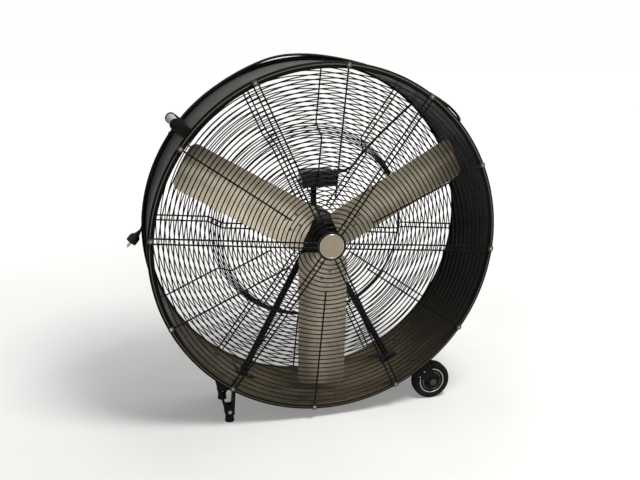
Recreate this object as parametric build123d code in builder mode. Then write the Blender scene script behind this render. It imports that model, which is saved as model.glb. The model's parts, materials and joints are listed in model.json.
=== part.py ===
from build123d import *
from math import asin, cos, degrees, hypot, radians, sin, sqrt, tan
import os

os.makedirs("parts", exist_ok=True)

# A drum fan on two wheels and two rubber feet. +X is to the right, +Y to the rear and +Z up,
# as seen from in front of it. The origin is on the floor, below the fan's axis and under the
# middle of its overall depth. All sizes are in millimetres and angles in degrees, turned from
# +X towards +Z.

# ---- Driving dimensions --------------------------------------------------------------------
seat_gap = 0.15  # between faces that seat on each other along a curve
shaft_gap = 0.05  # radial, round a shaft that turns
bolt_gap = 0.3  # radial, round a bolt

# Drum
axis_height = 583.0
drum_depth = 290.0
rim_radius = 550.0
shell_radius = 536.5
sheet = 2.5
front_opening_radius = 530.0
rear_opening_radius = 528.0
lip_return = 14.0

# Guards of welded wire
spoke_wire = 5.0
ring_wire = 4.4
weld_depth = 1.2
spoke_phase = -5.6
spoke_step = 30.0
pair_gap = 16.0
guard_edge_radius = 517.0
spoke_end_radius = 547.0
ring_steps = 4
crown = 9.0
crown_flat_radius = 90.0
front_single_end = 147.0
front_pair_end = 30.0
front_inner_ring = 84.0
recess_depth = 85.0
recess_mouth_radius = 336.0
recess_floor_radius = 301.0
rear_single_end = 155.0
rear_inner_ring = 85.0

# Guard screws with wide flanged heads
clip_radius = 541.0
eye_radius = 7.5
washer_radius = 9.0
washer_thickness = 1.2
screw_head_radius = 4.6
screw_head_height = 2.8
screw_radius = 2.5
screw_length = 12.0

# Blank plate in the middle of the front guard
plate_radius = 44.0
plate_floor = 1.2
plate_height = 3.6
badge_radius = 37.6
badge_edge = 1.0
badge_dome = 1.2
badge_bevel = 7.0

# Rotor
blade_count = 3
first_blade_angle = 29.0
blade_depth = 90.0
blade_root = 52.0
blade_tip = 504.0
blade_width = 144.0
blade_sheet = 2.5
blade_corner = 22.0
root_pitch = 23.0
tip_pitch = 14.0
camber_radius = 260.0
arm_sheet = 4.0
arm_width = 76.0
arm_end = 152.0
rivet_radius = 3.0
rivet_head_radius = 6.0
rivet_head = 2.4
rivet_inner = 85.0
rivet_middle = 111.0
rivet_outer = 136.0
rivet_spread = 26.0
hub_radius = 48.0
hub_disc = 8.0
hub_cap_radius = 40.0
boss_radius = 24.0
boss_length = 46.0
set_screw_radius = 4.0

# Motor
shaft_radius = 8.0
motor_radius = 70.0
motor_wall = 5.0
motor_front = 136.0
motor_rear = 285.0
bell_length = 24.0
bearing_radius = 20.0
bearing_width = 12.0
stator_bore = 40.0
air_gap = 0.5
stack_length = 70.0
winding_length = 14.0

# Motor mount
cradle_sheet = 4.0
cradle_width = 38.0
leg_depth = 179.0
leg_radius = 11.0
leg_wall = 2.0
leg_angles = (-118.0, -61.5)
leg_plate = 5.0
leg_plate_length = 72.0
leg_plate_width = 60.0
leg_bolt_spacing = 50.0

# Switch box
box_left = -33.0
box_right = 86.0
box_bottom = 134.0
box_top = 188.0
box_front = 215.0
box_rear = 275.0
box_wall = 2.5
box_end_radius = 20.0
lid_sheet = 3.0
neck_x = 10.0
neck_depth = 240.0
neck_radius = 10.0
neck_wall = 2.0
knob_x = 8.0
knob_z = 161.0
knob_radius = 14.0
knob_height = 14.0
spindle_radius = 3.0
switch_radius = 15.0
switch_length = 24.0
capacitor_radius = 14.0
capacitor_length = 44.0
capacitor_x = 48.0
lid_screw_radius = 3.0
lid_screw_head = 2.0
lid_boss_radius = 6.0

# Cord, plug and gland
cord_radius = 4.0
gland_radius = 9.0
gland_length = 12.0
gland_z = 175.0
gland_depth = 262.0
plug_start = (-553.0, 250.0, 24.0)
plug_radius = 17.5
plug_length = 30.0
relief_length = 16.0
pin_radius = 2.4
pin_length = 19.0
pin_spacing = 19.0

# Handle
handle_angle = 139.8
handle_width = 35.0
handle_sheet = 5.0
handle_front = 15.5
handle_rear = 270.0
lug_spacing = 150.0
lug_sheet = 4.0
lug_radius = 598.0
grip_radius = 14.0
grip_line = 582.0
handle_bolt_radius = 4.0

# Wheels
wheel_x = 370.0
wheel_spacing = 182.0
wheel_radius = 64.5
wheel_width = 36.0
tyre_thickness = 19.0
wheel_gap = 3.0
fork_sheet = 4.0
fork_end_radius = 17.0
fork_angles = (-61.0, -50.0)
axle_radius = 6.0
nut_height = 6.0

# Feet
foot_x = -318.0
foot_spacing = 162.0
foot_width = 34.0
foot_sheet = 3.0
foot_angles = (-133.5, -123.5)
foot_end_width = 30.0
foot_end_height = 26.0
rubber_radius = 15.0
rubber_top_radius = 12.5
foot_stem_radius = 7.0
foot_stem_length = 22.0
foot_bolt_height = 37.0
foot_bolt_radius = 3.5

# ---- Places ----------------------------------------------------------------------------------
shell_bore = shell_radius - sheet
screw_proud = spoke_wire + washer_thickness + screw_head_height
badge_proud = spoke_wire + crown + plate_height
front_y = (badge_proud - screw_proud - drum_depth) / 2
middle_depth = drum_depth / 2
fan_axis = Axis((0, 0, axis_height), (0, 1, 0))


def back(depth):
    """Y of a place this far behind the face of the front rim."""
    return front_y + depth


def facing(depth, turn=0):
    """Plane across the fan, normal to the front: local X right and local Y up, then turned."""
    turned = (cos(radians(turn)), 0, sin(radians(turn)))
    return Plane(origin=(0, back(depth), axis_height), x_dir=turned, z_dir=(0, -1, 0))


def radial(angle):
    """Plane through the fan's axis: local X is depth behind the front rim, local Y is radius."""
    normal = (sin(radians(angle)), 0, -cos(radians(angle)))
    return Plane(origin=(0, front_y, axis_height), x_dir=(0, 1, 0), z_dir=normal)


def outward(angle, radius, depth):
    """Plane touching a cylinder about the fan's axis: local X to the rear, normal outwards."""
    out = (cos(radians(angle)), 0, sin(radians(angle)))
    place = (radius * out[0], back(depth), axis_height + radius * out[2])
    return Plane(origin=place, x_dir=(0, 1, 0), z_dir=out)


def drum_sector(inner, outer, angles, depths):
    """Adds a curved plate on a cylinder about the fan's axis to the part being built."""
    start, end = angles
    with BuildSketch(facing(depths[1])) as plate:
        with BuildLine():
            low = CenterArc((0, 0), inner, start, end - start)
            high = CenterArc((0, 0), outer, start, end - start)
            Line(low @ 0, high @ 0)
            Line(low @ 1, high @ 1)
        make_face()
    extrude(plate.sketch, amount=depths[1] - depths[0])


def turned_piece(*outline):
    """A piece of revolution about the fan's axis, from (depth, radius) corners."""
    with BuildPart() as piece:
        with BuildSketch(radial(90)):
            with BuildLine():
                Polyline(*outline, close=True)
            make_face()
        revolve(axis=fan_axis)
    return piece


# ---- Fixings through the drum ------------------------------------------------------------------
leg_bolt_depths = (leg_depth - leg_bolt_spacing / 2, leg_depth + leg_bolt_spacing / 2)
leg_bolt_places = [(angle, depth) for angle in leg_angles for depth in leg_bolt_depths]
fork_angle = sum(fork_angles) / 2
foot_angle = sum(foot_angles) / 2
wheel_depths = (middle_depth - wheel_spacing / 2, middle_depth + wheel_spacing / 2)
foot_depths = (middle_depth - foot_spacing / 2, middle_depth + foot_spacing / 2)
fork_bolt_places = [(fork_angle, depth) for depth in wheel_depths]
foot_bolt_places = [(foot_angle, depth) for depth in foot_depths]
handle_bolt_depths = (middle_depth - lug_spacing / 3, middle_depth + lug_spacing / 3)
handle_bolt_places = [(handle_angle, depth) for depth in handle_bolt_depths]
bolt_places = leg_bolt_places + fork_bolt_places + foot_bolt_places + handle_bolt_places

# ---- Drum -------------------------------------------------------------------------------------
drum_shell = turned_piece(
    (0, front_opening_radius),
    (0, rim_radius),
    (lip_return, rim_radius),
    (lip_return, rim_radius - sheet),
    (sheet, rim_radius - sheet),
    (sheet, shell_radius),
    (drum_depth - sheet, shell_radius),
    (drum_depth - sheet, rim_radius - sheet),
    (drum_depth - lip_return, rim_radius - sheet),
    (drum_depth - lip_return, rim_radius),
    (drum_depth, rim_radius),
    (drum_depth, rear_opening_radius),
    (drum_depth - sheet, rear_opening_radius),
    (drum_depth - sheet, shell_bore),
    (sheet, shell_bore),
    (sheet, front_opening_radius),
)
with drum_shell:
    with Locations(*[outward(angle, shell_radius, depth) for angle, depth in bolt_places]):
        Hole(radius=handle_bolt_radius + bolt_gap, depth=2 * sheet)
    for lip in (0, drum_depth - sheet):
        with Locations(facing(lip)):
            with PolarLocations(clip_radius, 12, start_angle=spoke_phase):
                Hole(radius=screw_radius + bolt_gap, depth=sheet)


# ---- Guards -----------------------------------------------------------------------------------
def spread(first, last, steps):
    """Evenly spaced values from first to last."""
    return [first + (last - first) * step / steps for step in range(steps + 1)]


pair_angles = [spoke_phase + 2 * spoke_step * turn for turn in range(6)]
single_planes = [radial(angle + spoke_step) for angle in pair_angles]
pair_planes = [radial(angle).offset(side * pair_gap / 2) for angle in pair_angles for side in (-1, 1)]


def wire_outline(path):
    """Outline of a bent spoke wire whose middle follows a path of (depth, radius) points."""
    points = [Vector(*place) for place in path]
    runs = [(end - start).normalized() for start, end in zip(points, points[1:])]
    left, right = [], []
    for point, before, after in zip(points, [runs[0], *runs], [*runs, runs[-1]]):
        mitre = (before + after).normalized()
        across = Vector(-mitre.Y, mitre.X) * (spoke_wire / 2 / mitre.dot(after))
        left.append(point + across)
        right.append(point - across)
    return left + right[::-1]


def spokes(planes, path):
    """Adds straight wires that follow a path of (depth, radius) points in each plane."""
    with BuildSketch(*planes) as bars:
        with BuildLine():
            Polyline(*wire_outline(path), close=True)
        make_face()
    extrude(bars.sketch, amount=spoke_wire / 2, both=True)


def rings(places):
    """Adds ring wires of three-sided section, welded on the (depth, radius) places."""
    with BuildSketch(radial(90)) as sections:
        with Locations(*places):
            RegularPolygon(radius=ring_wire / 2, side_count=3)
    revolve(sections.sketch, axis=fan_axis)


rim_line = -spoke_wire / 2
crown_line = rim_line - crown
front_slope = [(rim_line, guard_edge_radius), (crown_line, crown_flat_radius)]
ring_rise = spoke_wire / 2 + ring_wire / 2 - weld_depth


def front_line(radius):
    """Depth of the front guard's spokes at a radius."""
    share = (guard_edge_radius - radius) / (guard_edge_radius - crown_flat_radius)
    return rim_line - crown * min(share, 1)


def eyes(face_depth, side):
    """Adds the eyes at the ends of the single spokes, with a screw's hole through each."""
    with BuildSketch(facing(face_depth)) as loops:
        with PolarLocations(clip_radius, 6, start_angle=spoke_phase + spoke_step):
            Circle(eye_radius)
    extrude(loops.sketch, amount=-side * spoke_wire)
    with BuildSketch(facing(face_depth)) as holes:
        with PolarLocations(clip_radius, 6, start_angle=spoke_phase + spoke_step):
            Circle(screw_radius + bolt_gap)
    extrude(holes.sketch, amount=-side * spoke_wire, mode=Mode.SUBTRACT)


front_ring_radii = spread(guard_edge_radius, front_single_end, ring_steps) + [front_inner_ring]
with BuildPart() as front_guard:
    spokes(pair_planes, [(rim_line, spoke_end_radius), *front_slope, (crown_line, front_pair_end)])
    single_end = (front_line(front_single_end), front_single_end)
    spokes(single_planes, [(rim_line, clip_radius), front_slope[0], single_end])
    eyes(0, -1)
    rings([(front_line(radius) - ring_rise, radius) for radius in front_ring_radii])

rear_line = drum_depth + spoke_wire / 2
recess_line = rear_line - recess_depth
recess_side = [(rear_line, recess_mouth_radius), (recess_line, recess_floor_radius)]
rear_outer_radii = spread(guard_edge_radius, recess_mouth_radius, 2)
rear_inner_radii = spread(recess_floor_radius, rear_single_end, 2) + [rear_inner_ring]
with BuildPart() as rear_guard:
    spokes(pair_planes, [(rear_line, spoke_end_radius), *recess_side, (recess_line, rear_inner_ring)])
    spokes(single_planes, [(rear_line, clip_radius), *recess_side, (recess_line, rear_single_end)])
    eyes(drum_depth, 1)
    rings([(rear_line + ring_rise, radius) for radius in rear_outer_radii])
    rings([(recess_line + ring_rise, radius) for radius in rear_inner_radii])


def guard_screws(face_depth, side):
    """Flanged screws on a guard's spokes: side is -1 in front of the drum and 1 behind it."""
    head_start = face_depth + side * spoke_wire
    head_end = head_start + side * washer_thickness
    with BuildPart() as screws:
        with BuildSketch(facing(head_start)):
            with PolarLocations(clip_radius, 12, start_angle=spoke_phase):
                RegularPolygon(radius=washer_radius, side_count=8)
        extrude(amount=-side * washer_thickness)
        with BuildSketch(facing(head_end)):
            with PolarLocations(clip_radius, 12, start_angle=spoke_phase):
                RegularPolygon(radius=screw_head_radius, side_count=6)
        extrude(amount=-side * screw_head_height)
        with BuildSketch(facing(head_start)):
            with PolarLocations(clip_radius, 12, start_angle=spoke_phase):
                RegularPolygon(radius=screw_radius, side_count=4)
        extrude(amount=side * screw_length)
    return screws


front_guard_screws = guard_screws(0, -1)
rear_guard_screws = guard_screws(drum_depth, 1)

# ---- Blank plate in the middle of the front guard -------------------------------------------------
plate_back = crown_line - spoke_wire / 2
plate_inside = plate_radius - 1.6
guard_centre_plate = turned_piece(
    (plate_back, 0),
    (plate_back, plate_radius),
    (plate_back - plate_height, plate_radius),
    (plate_back - plate_height, plate_inside),
    (plate_back - plate_floor, plate_inside - plate_floor),
    (plate_back - plate_floor, 0),
)
badge_back = plate_back - plate_floor
centre_badge = turned_piece(
    (badge_back, 0),
    (badge_back, badge_radius),
    (badge_back - badge_edge, badge_radius),
    (badge_back - badge_edge - badge_dome, badge_radius - badge_bevel),
    (badge_back - badge_edge - badge_dome, 0),
)


# ---- Rotor ------------------------------------------------------------------------------------
def pitch(radius):
    """Angle between the blade's chord and the plane of rotation."""
    return root_pitch + (tip_pitch - root_pitch) * (radius - blade_root) / (blade_tip - blade_root)


def chord_plane(angle, radius):
    """Section plane of a blade: local X along the chord, local Y to the front, normal outwards."""
    a, p = radians(angle), radians(pitch(radius))
    chord = (-sin(a) * cos(p), -sin(p), cos(a) * cos(p))
    place = (radius * cos(a), back(blade_depth), axis_height + radius * sin(a))
    return Plane(origin=place, x_dir=chord, z_dir=(cos(a), 0, sin(a)))


half_chord = blade_width / 2 / cos(radians(root_pitch)) + 2
camber_span = degrees(asin(half_chord / camber_radius))
sheet_start = boss_radius


def cambered_sheet(angle, behind, thickness):
    """Adds a twisted sheet with the blade's camber, this far behind the blade's front face."""
    near_radius = camber_radius + behind
    sections = []
    for radius in (sheet_start, blade_tip + blade_corner):
        with BuildSketch(chord_plane(angle, radius)) as section:
            with BuildLine():
                near = CenterArc((0, camber_radius), near_radius, -90 - camber_span, 2 * camber_span)
                far = CenterArc((0, camber_radius), near_radius + thickness, -90 - camber_span, 2 * camber_span)
                Line(near @ 0, far @ 0)
                Line(near @ 1, far @ 1)
            make_face()
        sections.append(section.sketch.face())
    loft(sections)


def rivet_planes(angle):
    """A plane on the blade's front face at each rivet, with its normal to the front."""
    places = [(rivet_inner, 0), (rivet_outer, 0), (rivet_middle, -rivet_spread), (rivet_middle, rivet_spread)]
    planes = []
    for radius, across in places:
        lean = asin(across / camber_radius)
        section = chord_plane(angle, radius)
        on_face = section.from_local_coords(Vector(across, camber_radius * (1 - cos(lean)), 0))
        centre = section.from_local_coords(Vector(0, camber_radius, 0))
        planes.append(Plane(origin=on_face, x_dir=section.z_dir, z_dir=centre - on_face))
    return planes


arm_behind = blade_sheet + seat_gap
blade_angles = [first_blade_angle + 360 / blade_count * turn for turn in range(blade_count)]


def fan_blade(angle):
    """One paddle blade, seen from the front as a bar with a round tip and rounded corners."""
    tip_x = sqrt(blade_tip**2 - (blade_width / 2) ** 2)
    with BuildPart() as blade:
        cambered_sheet(angle, 0, blade_sheet)
        with BuildSketch(facing(blade_depth, angle)):
            with BuildLine():
                lower, upper = (tip_x, -blade_width / 2), (tip_x, blade_width / 2)
                root_low, root_high = (blade_root, -blade_width / 2), (blade_root, blade_width / 2)
                Polyline(lower, root_low, root_high, upper)
                ThreePointArc(lower, (blade_tip, 0), upper)
            make_face()
            fillet(vertices(), radius=blade_corner)
        extrude(amount=blade_width, both=True, mode=Mode.INTERSECT)
        with Locations(*rivet_planes(angle)):
            Cylinder(rivet_radius + seat_gap, 6 * blade_sheet, mode=Mode.SUBTRACT)
    return blade


blades = [fan_blade(angle) for angle in blade_angles]

hub_front = blade_depth - 2
boss_front = hub_front - 12
hub_rear = hub_front + hub_disc
hub_disc_piece = turned_piece(
    (boss_front, shaft_radius + shaft_gap),
    (boss_front, boss_radius - 6),
    (boss_front + 2, boss_radius),
    (hub_front - 6, boss_radius + 2),
    (hub_front - 4, hub_cap_radius),
    (hub_front, hub_cap_radius + 3),
    (hub_front, hub_radius),
    (hub_rear, hub_radius),
    (hub_rear, boss_radius + 8),
    (hub_rear + 4, boss_radius),
    (boss_front + boss_length, boss_radius),
    (boss_front + boss_length, shaft_radius + shaft_gap),
)
set_screw_depth = boss_front + boss_length - 10


def spider_arm(angle):
    """One arm of the spider, bent to the blade's camber so that the blade lies flat on it."""
    with BuildPart() as arm:
        cambered_sheet(angle, arm_behind, arm_sheet)
        with BuildSketch(facing(blade_depth, angle)):
            with BuildLine():
                half = arm_width / 2
                Polyline((boss_radius + 4, -half), (arm_end - half / 2, -half), (arm_end, -half / 2))
                Line((arm_end, -half / 2), (arm_end, half / 2))
                Polyline((arm_end, half / 2), (arm_end - half / 2, half), (boss_radius + 4, half))
                Line((boss_radius + 4, half), (boss_radius + 4, -half))
            make_face()
        extrude(amount=blade_width, both=True, mode=Mode.INTERSECT)
        with Locations(*rivet_planes(angle)):
            Cylinder(rivet_radius + seat_gap, 6 * arm_sheet, mode=Mode.SUBTRACT)
    return arm


spider_arms = [spider_arm(angle) for angle in blade_angles]
with BuildPart() as hub_spider:
    add(hub_disc_piece.part)
    for arm in spider_arms:
        add(arm.part)
    with Locations(outward(90, boss_radius, set_screw_depth)):
        Hole(radius=set_screw_radius, depth=boss_radius - shaft_radius / 2)

grip = blade_sheet + arm_sheet + 2 * seat_gap
with BuildPart() as blade_rivets:
    for angle in blade_angles:
        for plane in rivet_planes(angle):
            with BuildSketch(plane.offset(seat_gap)):
                Circle(rivet_head_radius)
            extrude(amount=rivet_head, taper=35)
            with BuildSketch(plane.offset(seat_gap)):
                Circle(rivet_radius)
            extrude(amount=-grip - seat_gap)
            with BuildSketch(plane.offset(-grip)):
                Circle(rivet_head_radius)
            extrude(amount=-rivet_head, taper=35)

with BuildPart() as hub_set_screw:
    with BuildSketch(outward(90, shaft_radius + seat_gap, set_screw_depth)):
        Circle(set_screw_radius - seat_gap)
    extrude(amount=boss_radius - shaft_radius - 1)

# ---- Motor ------------------------------------------------------------------------------------
front_seat = motor_front + 6
rear_seat = motor_rear - 6 - bearing_width
shaft_front = boss_front - 4
shaft_rear = motor_rear - 3
stack_start = (motor_front + motor_rear - stack_length) / 2
stack_end = stack_start + stack_length
core_radius = stator_bore - air_gap
bell_bore = motor_radius - motor_wall
seat_wall = 5.0


def bell(outer_end, inner_end, seat_start):
    """A domed end cover with a bearing seat: side is 1 where its outer end faces the rear."""
    side = 1 if outer_end > inner_end else -1
    seat_end = seat_start + bearing_width
    inner_face = seat_start if side == 1 else seat_end
    outer_face = seat_end if side == 1 else seat_start
    return turned_piece(
        (outer_end, shaft_radius + 1),
        (outer_end, bearing_radius + 2 * seat_wall),
        (outer_end - side * 8, motor_radius - 6),
        (outer_end - side * 14, motor_radius),
        (inner_end, motor_radius),
        (inner_end, bell_bore),
        (outer_end - side * 14, bell_bore),
        (outer_face, bearing_radius + seat_wall + 4),
        (inner_face, bearing_radius + seat_wall),
        (inner_face, bearing_radius + seat_gap),
        (outer_face, bearing_radius + seat_gap),
        (outer_face, shaft_radius + 1),
    )


def bearing(seat_start):
    """A ball bearing as one closed ring."""
    seat_end = seat_start + bearing_width
    inner = shaft_radius + shaft_gap
    return turned_piece(
        (seat_start, inner), (seat_start, bearing_radius), (seat_end, bearing_radius), (seat_end, inner)
    )


shell_start = motor_front + bell_length
shell_end = motor_rear - bell_length
motor_front_bell = bell(motor_front, shell_start, front_seat)
motor_rear_bell = bell(motor_rear, shell_end, rear_seat)
front_bearing = bearing(front_seat)
rear_bearing = bearing(rear_seat)
motor_shell = turned_piece(
    (shell_start, bell_bore), (shell_start, motor_radius), (shell_end, motor_radius), (shell_end, bell_bore)
)
stator_core = turned_piece(
    (stack_start, stator_bore),
    (stack_start, bell_bore - seat_gap),
    (stack_end, bell_bore - seat_gap),
    (stack_end, stator_bore),
)
with BuildPart() as stator_windings:
    with BuildSketch(radial(90)):
        winding_middle = (stator_bore + bell_bore) / 2
        with Locations(
            (stack_start - winding_length / 2, winding_middle), (stack_end + winding_length / 2, winding_middle)
        ):
            Rectangle(winding_length, winding_length)
    revolve(axis=fan_axis)
rotor_core = turned_piece(
    (stack_start, shaft_radius + seat_gap),
    (stack_start, core_radius),
    (stack_end, core_radius),
    (stack_end, shaft_radius + seat_gap),
)
with BuildPart() as motor_shaft:
    with BuildSketch(facing(shaft_front)):
        Circle(shaft_radius)
    extrude(amount=shaft_front - shaft_rear)
    chamfer(edges().group_by(Axis.Y)[0], length=1.5)

# ---- Motor mount --------------------------------------------------------------------------------
cradle_bore = motor_radius + seat_gap
cradle_outer = cradle_bore + cradle_sheet
cradle_front = leg_depth - cradle_width / 2
cradle_rear = leg_depth + cradle_width / 2
motor_cradle = turned_piece(
    (cradle_front, cradle_bore),
    (cradle_front, cradle_outer),
    (cradle_rear, cradle_outer),
    (cradle_rear, cradle_bore),
)

leg_foot_radius = shell_bore - seat_gap
plate_half_angle = degrees(asin(leg_plate_width / 2 / leg_foot_radius))


def motor_leg(angle):
    """A tube from the cradle to a curved foot plate on the inside of the drum."""
    foot_top = leg_foot_radius - leg_plate
    with BuildPart() as leg:
        with BuildSketch(outward(angle, cradle_bore, leg_depth)):
            Circle(leg_radius)
            Circle(leg_radius - leg_wall, mode=Mode.SUBTRACT)
        extrude(amount=foot_top + 1 - cradle_bore)
        with BuildSketch(facing(0)):
            Circle(cradle_outer + seat_gap)
        extrude(amount=-drum_depth, mode=Mode.SUBTRACT)
        leg_angles_here = (angle - plate_half_angle, angle + plate_half_angle)
        leg_depths = (leg_depth - leg_plate_length / 2, leg_depth + leg_plate_length / 2)
        drum_sector(foot_top, leg_foot_radius, leg_angles_here, leg_depths)
        with Locations(*[outward(angle, leg_foot_radius, depth) for depth in leg_bolt_depths]):
            Hole(radius=handle_bolt_radius + bolt_gap, depth=2 * leg_plate)
    return leg


motor_leg_left, motor_leg_right = [motor_leg(angle) for angle in leg_angles]


def drum_bolts(places, outer, inner):
    """Bolts through the drum, with a hexagonal head outside and a nut inside."""
    with BuildPart() as bolts:
        for angle, depth in places:
            with BuildSketch(outward(angle, outer, depth)):
                RegularPolygon(radius=2 * handle_bolt_radius, side_count=6)
            extrude(amount=handle_bolt_radius)
            with BuildSketch(outward(angle, outer, depth)):
                RegularPolygon(radius=handle_bolt_radius, side_count=8)
            extrude(amount=inner - outer)
            with BuildSketch(outward(angle, inner, depth)):
                RegularPolygon(radius=2 * handle_bolt_radius, side_count=6)
            extrude(amount=-handle_bolt_radius)
    return bolts


plate_sag = leg_foot_radius - sqrt(leg_foot_radius**2 - (2 * handle_bolt_radius) ** 2)
outside = shell_radius + seat_gap
inside = shell_bore - plate_sag - seat_gap
leg_bolts = drum_bolts(leg_bolt_places, outside, leg_foot_radius - leg_plate - plate_sag - seat_gap)

# ---- Switch box -----------------------------------------------------------------------------------
box_middle = ((box_left + box_right) / 2, (box_bottom + box_top) / 2)
box_width = box_right - box_left
box_height = box_top - box_bottom
lid_front = box_rear - lid_sheet


def box_outline(inset):
    """Outline of the switch box, round at its right end."""
    with Locations(box_middle):
        Rectangle(box_width - 2 * inset, box_height - 2 * inset)
    fillet(vertices().group_by(Axis.X)[-1], radius=box_end_radius - inset)
    fillet(vertices().group_by(Axis.X)[0], radius=4)


boss_inset = lid_boss_radius + box_wall / 2
lid_screw_places = [
    (box_left + boss_inset, box_bottom + boss_inset),
    (box_left + boss_inset, box_top - boss_inset),
    (box_right - boss_inset, box_middle[1]),
]
neck_top = axis_height + box_bottom
neck_foot = axis_height + sqrt(motor_radius**2 - (neck_x + neck_radius) ** 2)
with BuildPart() as switch_box:
    with BuildSketch(facing(lid_front)):
        box_outline(0)
    extrude(amount=lid_front - box_front)
    with BuildSketch(facing(lid_front)):
        box_outline(box_wall)
    extrude(amount=lid_front - box_front - box_wall, mode=Mode.SUBTRACT)
    with BuildSketch(facing(lid_front)):
        with Locations(*lid_screw_places):
            Circle(lid_boss_radius)
    extrude(amount=lid_front - box_front - box_wall / 2)
    with Locations(facing(lid_front).rotated((180, 0, 0))):
        with Locations(*[(x, -z) for x, z in lid_screw_places]):
            Hole(radius=lid_screw_radius - 1, depth=16)
    gland_place = Plane(
        origin=(box_right, back(gland_depth), axis_height + gland_z), x_dir=(0, 1, 0), z_dir=(1, 0, 0)
    )
    with Locations(gland_place):
        Hole(radius=cord_radius + seat_gap, depth=3 * box_wall)
    with Locations(Plane(origin=(neck_x, back(neck_depth), neck_top + box_wall))):
        Hole(radius=neck_radius - neck_wall, depth=2 * box_wall)

with BuildPart() as switch_box_lid:
    with BuildSketch(facing(box_rear)):
        box_outline(0)
        with Locations(*lid_screw_places):
            Circle(lid_screw_radius - 1 + bolt_gap, mode=Mode.SUBTRACT)
        with Locations((knob_x, knob_z)):
            Circle(spindle_radius + 1, mode=Mode.SUBTRACT)
    extrude(amount=lid_sheet)
    chamfer(faces().sort_by(Axis.Y)[-1].outer_wire().edges(), length=1)

with BuildPart() as lid_screws:
    with BuildSketch(facing(box_rear)):
        with Locations(*lid_screw_places):
            RegularPolygon(radius=lid_screw_radius + 0.6, side_count=8)
    extrude(amount=-lid_screw_head)
    with BuildSketch(facing(box_rear)):
        with Locations(*lid_screw_places):
            RegularPolygon(radius=lid_screw_radius - 1 - seat_gap, side_count=6)
    extrude(amount=12)

with BuildPart() as switch_neck:
    with BuildSketch(Plane(origin=(neck_x, back(neck_depth), neck_top))):
        Circle(neck_radius)
        Circle(neck_radius - neck_wall, mode=Mode.SUBTRACT)
    extrude(amount=-box_bottom)
    with BuildSketch(facing(0)):
        Circle(motor_radius + seat_gap)
    extrude(amount=-2 * drum_depth, mode=Mode.SUBTRACT)

with BuildPart() as speed_switch:
    with BuildSketch(facing(lid_front - seat_gap)):
        with Locations((knob_x, knob_z)):
            Circle(switch_radius)
            Circle(spindle_radius + shaft_gap, mode=Mode.SUBTRACT)
    extrude(amount=switch_length)

with BuildPart() as capacitor:
    capacitor_z = box_bottom + box_wall + seat_gap + capacitor_radius
    with BuildSketch(facing(box_front + box_wall + seat_gap)):
        with Locations((capacitor_x, capacitor_z)):
            Circle(capacitor_radius)
    extrude(amount=-capacitor_length)

knob_front = box_rear + 0.5
with BuildPart() as speed_knob:
    with BuildSketch(facing(knob_front)):
        with Locations((knob_x, knob_z)):
            Circle(knob_radius)
    extrude(amount=-knob_height, taper=6)
    chamfer(edges().sort_by(Axis.Y)[-1], length=1.5)
    with BuildSketch(facing(knob_front + knob_height)):
        with Locations((knob_x, knob_z + knob_radius / 2)):
            Rectangle(2.5, knob_radius)
    extrude(amount=2, mode=Mode.SUBTRACT)
    with BuildSketch(facing(knob_front)):
        with Locations((knob_x, knob_z)):
            Circle(spindle_radius)
    extrude(amount=switch_length - 4)

# ---- Cord, gland and plug ---------------------------------------------------------------------------
gland_end = Plane(
    origin=(box_right + gland_length, back(gland_depth), axis_height + gland_z), x_dir=(0, 1, 0), z_dir=(1, 0, 0)
)
with BuildPart() as cord_gland:
    with BuildSketch(gland_place):
        RegularPolygon(radius=gland_radius, side_count=6)
    extrude(amount=gland_length / 2)
    with BuildSketch(gland_place.offset(gland_length / 2)):
        Circle(gland_radius - 1.5)
    extrude(amount=gland_length / 2, taper=12)


def on_channel(angle, radius, depth):
    """A point of the cord's route, given about the fan's axis."""
    return (radius * cos(radians(angle)), depth, radius * sin(radians(angle)))


cord_route = [
    (box_right + gland_length, gland_depth, gland_z),
    (142, gland_depth, gland_z),
    (186, 298, 214),
    (262, 309, 286),
    (348, 308, 362),
    on_channel(45.5, 560, 308),
    on_channel(44.3, 597, 273),
    on_channel(42.2, 592, 215),
    on_channel(39.3, 584, 155),
    on_channel(37.8, 580, 100),
    on_channel(40.3, 578, 62),
    on_channel(44.9, 574, 52),
    on_channel(49.0, 570, 75),
    on_channel(51.2, 566, 125),
    on_channel(55.0, 561, 180),
    on_channel(61.5, 557, 225),
    on_channel(70.5, 554, 252),
    on_channel(81.0, 552, 264),
    on_channel(91.0, 557, 262),
    on_channel(101.0, 563, 263),
    on_channel(111.5, 556, 258),
    on_channel(123.0, 553, 254),
    on_channel(134.5, 552, 257),
    on_channel(146.0, 553, 254),
    on_channel(157.5, 552, 250),
    on_channel(165.0, 550, 252),
    on_channel(171.5, 548, 250),
    (-543.5, 250, 45),
    plug_start,
]


def placed(point):
    """Turns a (x, depth, height above the axis) point into a place in the part's frame."""
    x, depth, height = point
    return Vector(x, back(depth), axis_height + height)


cord_points = [placed(point) for point in cord_route]
cord_radii = []
for before, corner, after in zip(cord_points, cord_points[1:], cord_points[2:]):
    half_turn = radians((corner - before).get_angle(after - corner)) / 2
    shorter_run = min((corner - before).length, (after - corner).length)
    cord_radii.append(0.45 * shorter_run / tan(half_turn))
with BuildPart() as cord:
    with BuildLine():
        cord_path = FilletPolyline(*cord_points, radius=cord_radii)
    with BuildSketch(Plane(origin=cord_path @ 0, z_dir=cord_path % 0)):
        Circle(cord_radius)
    sweep()
cord_length = cord_path.length
print("cord length", round(cord_length), "radii", [round(radius) for radius in cord_radii])
print("cord volume share", round(cord.part.volume / (cord_length * 3.14159 * cord_radius**2), 4))

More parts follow.
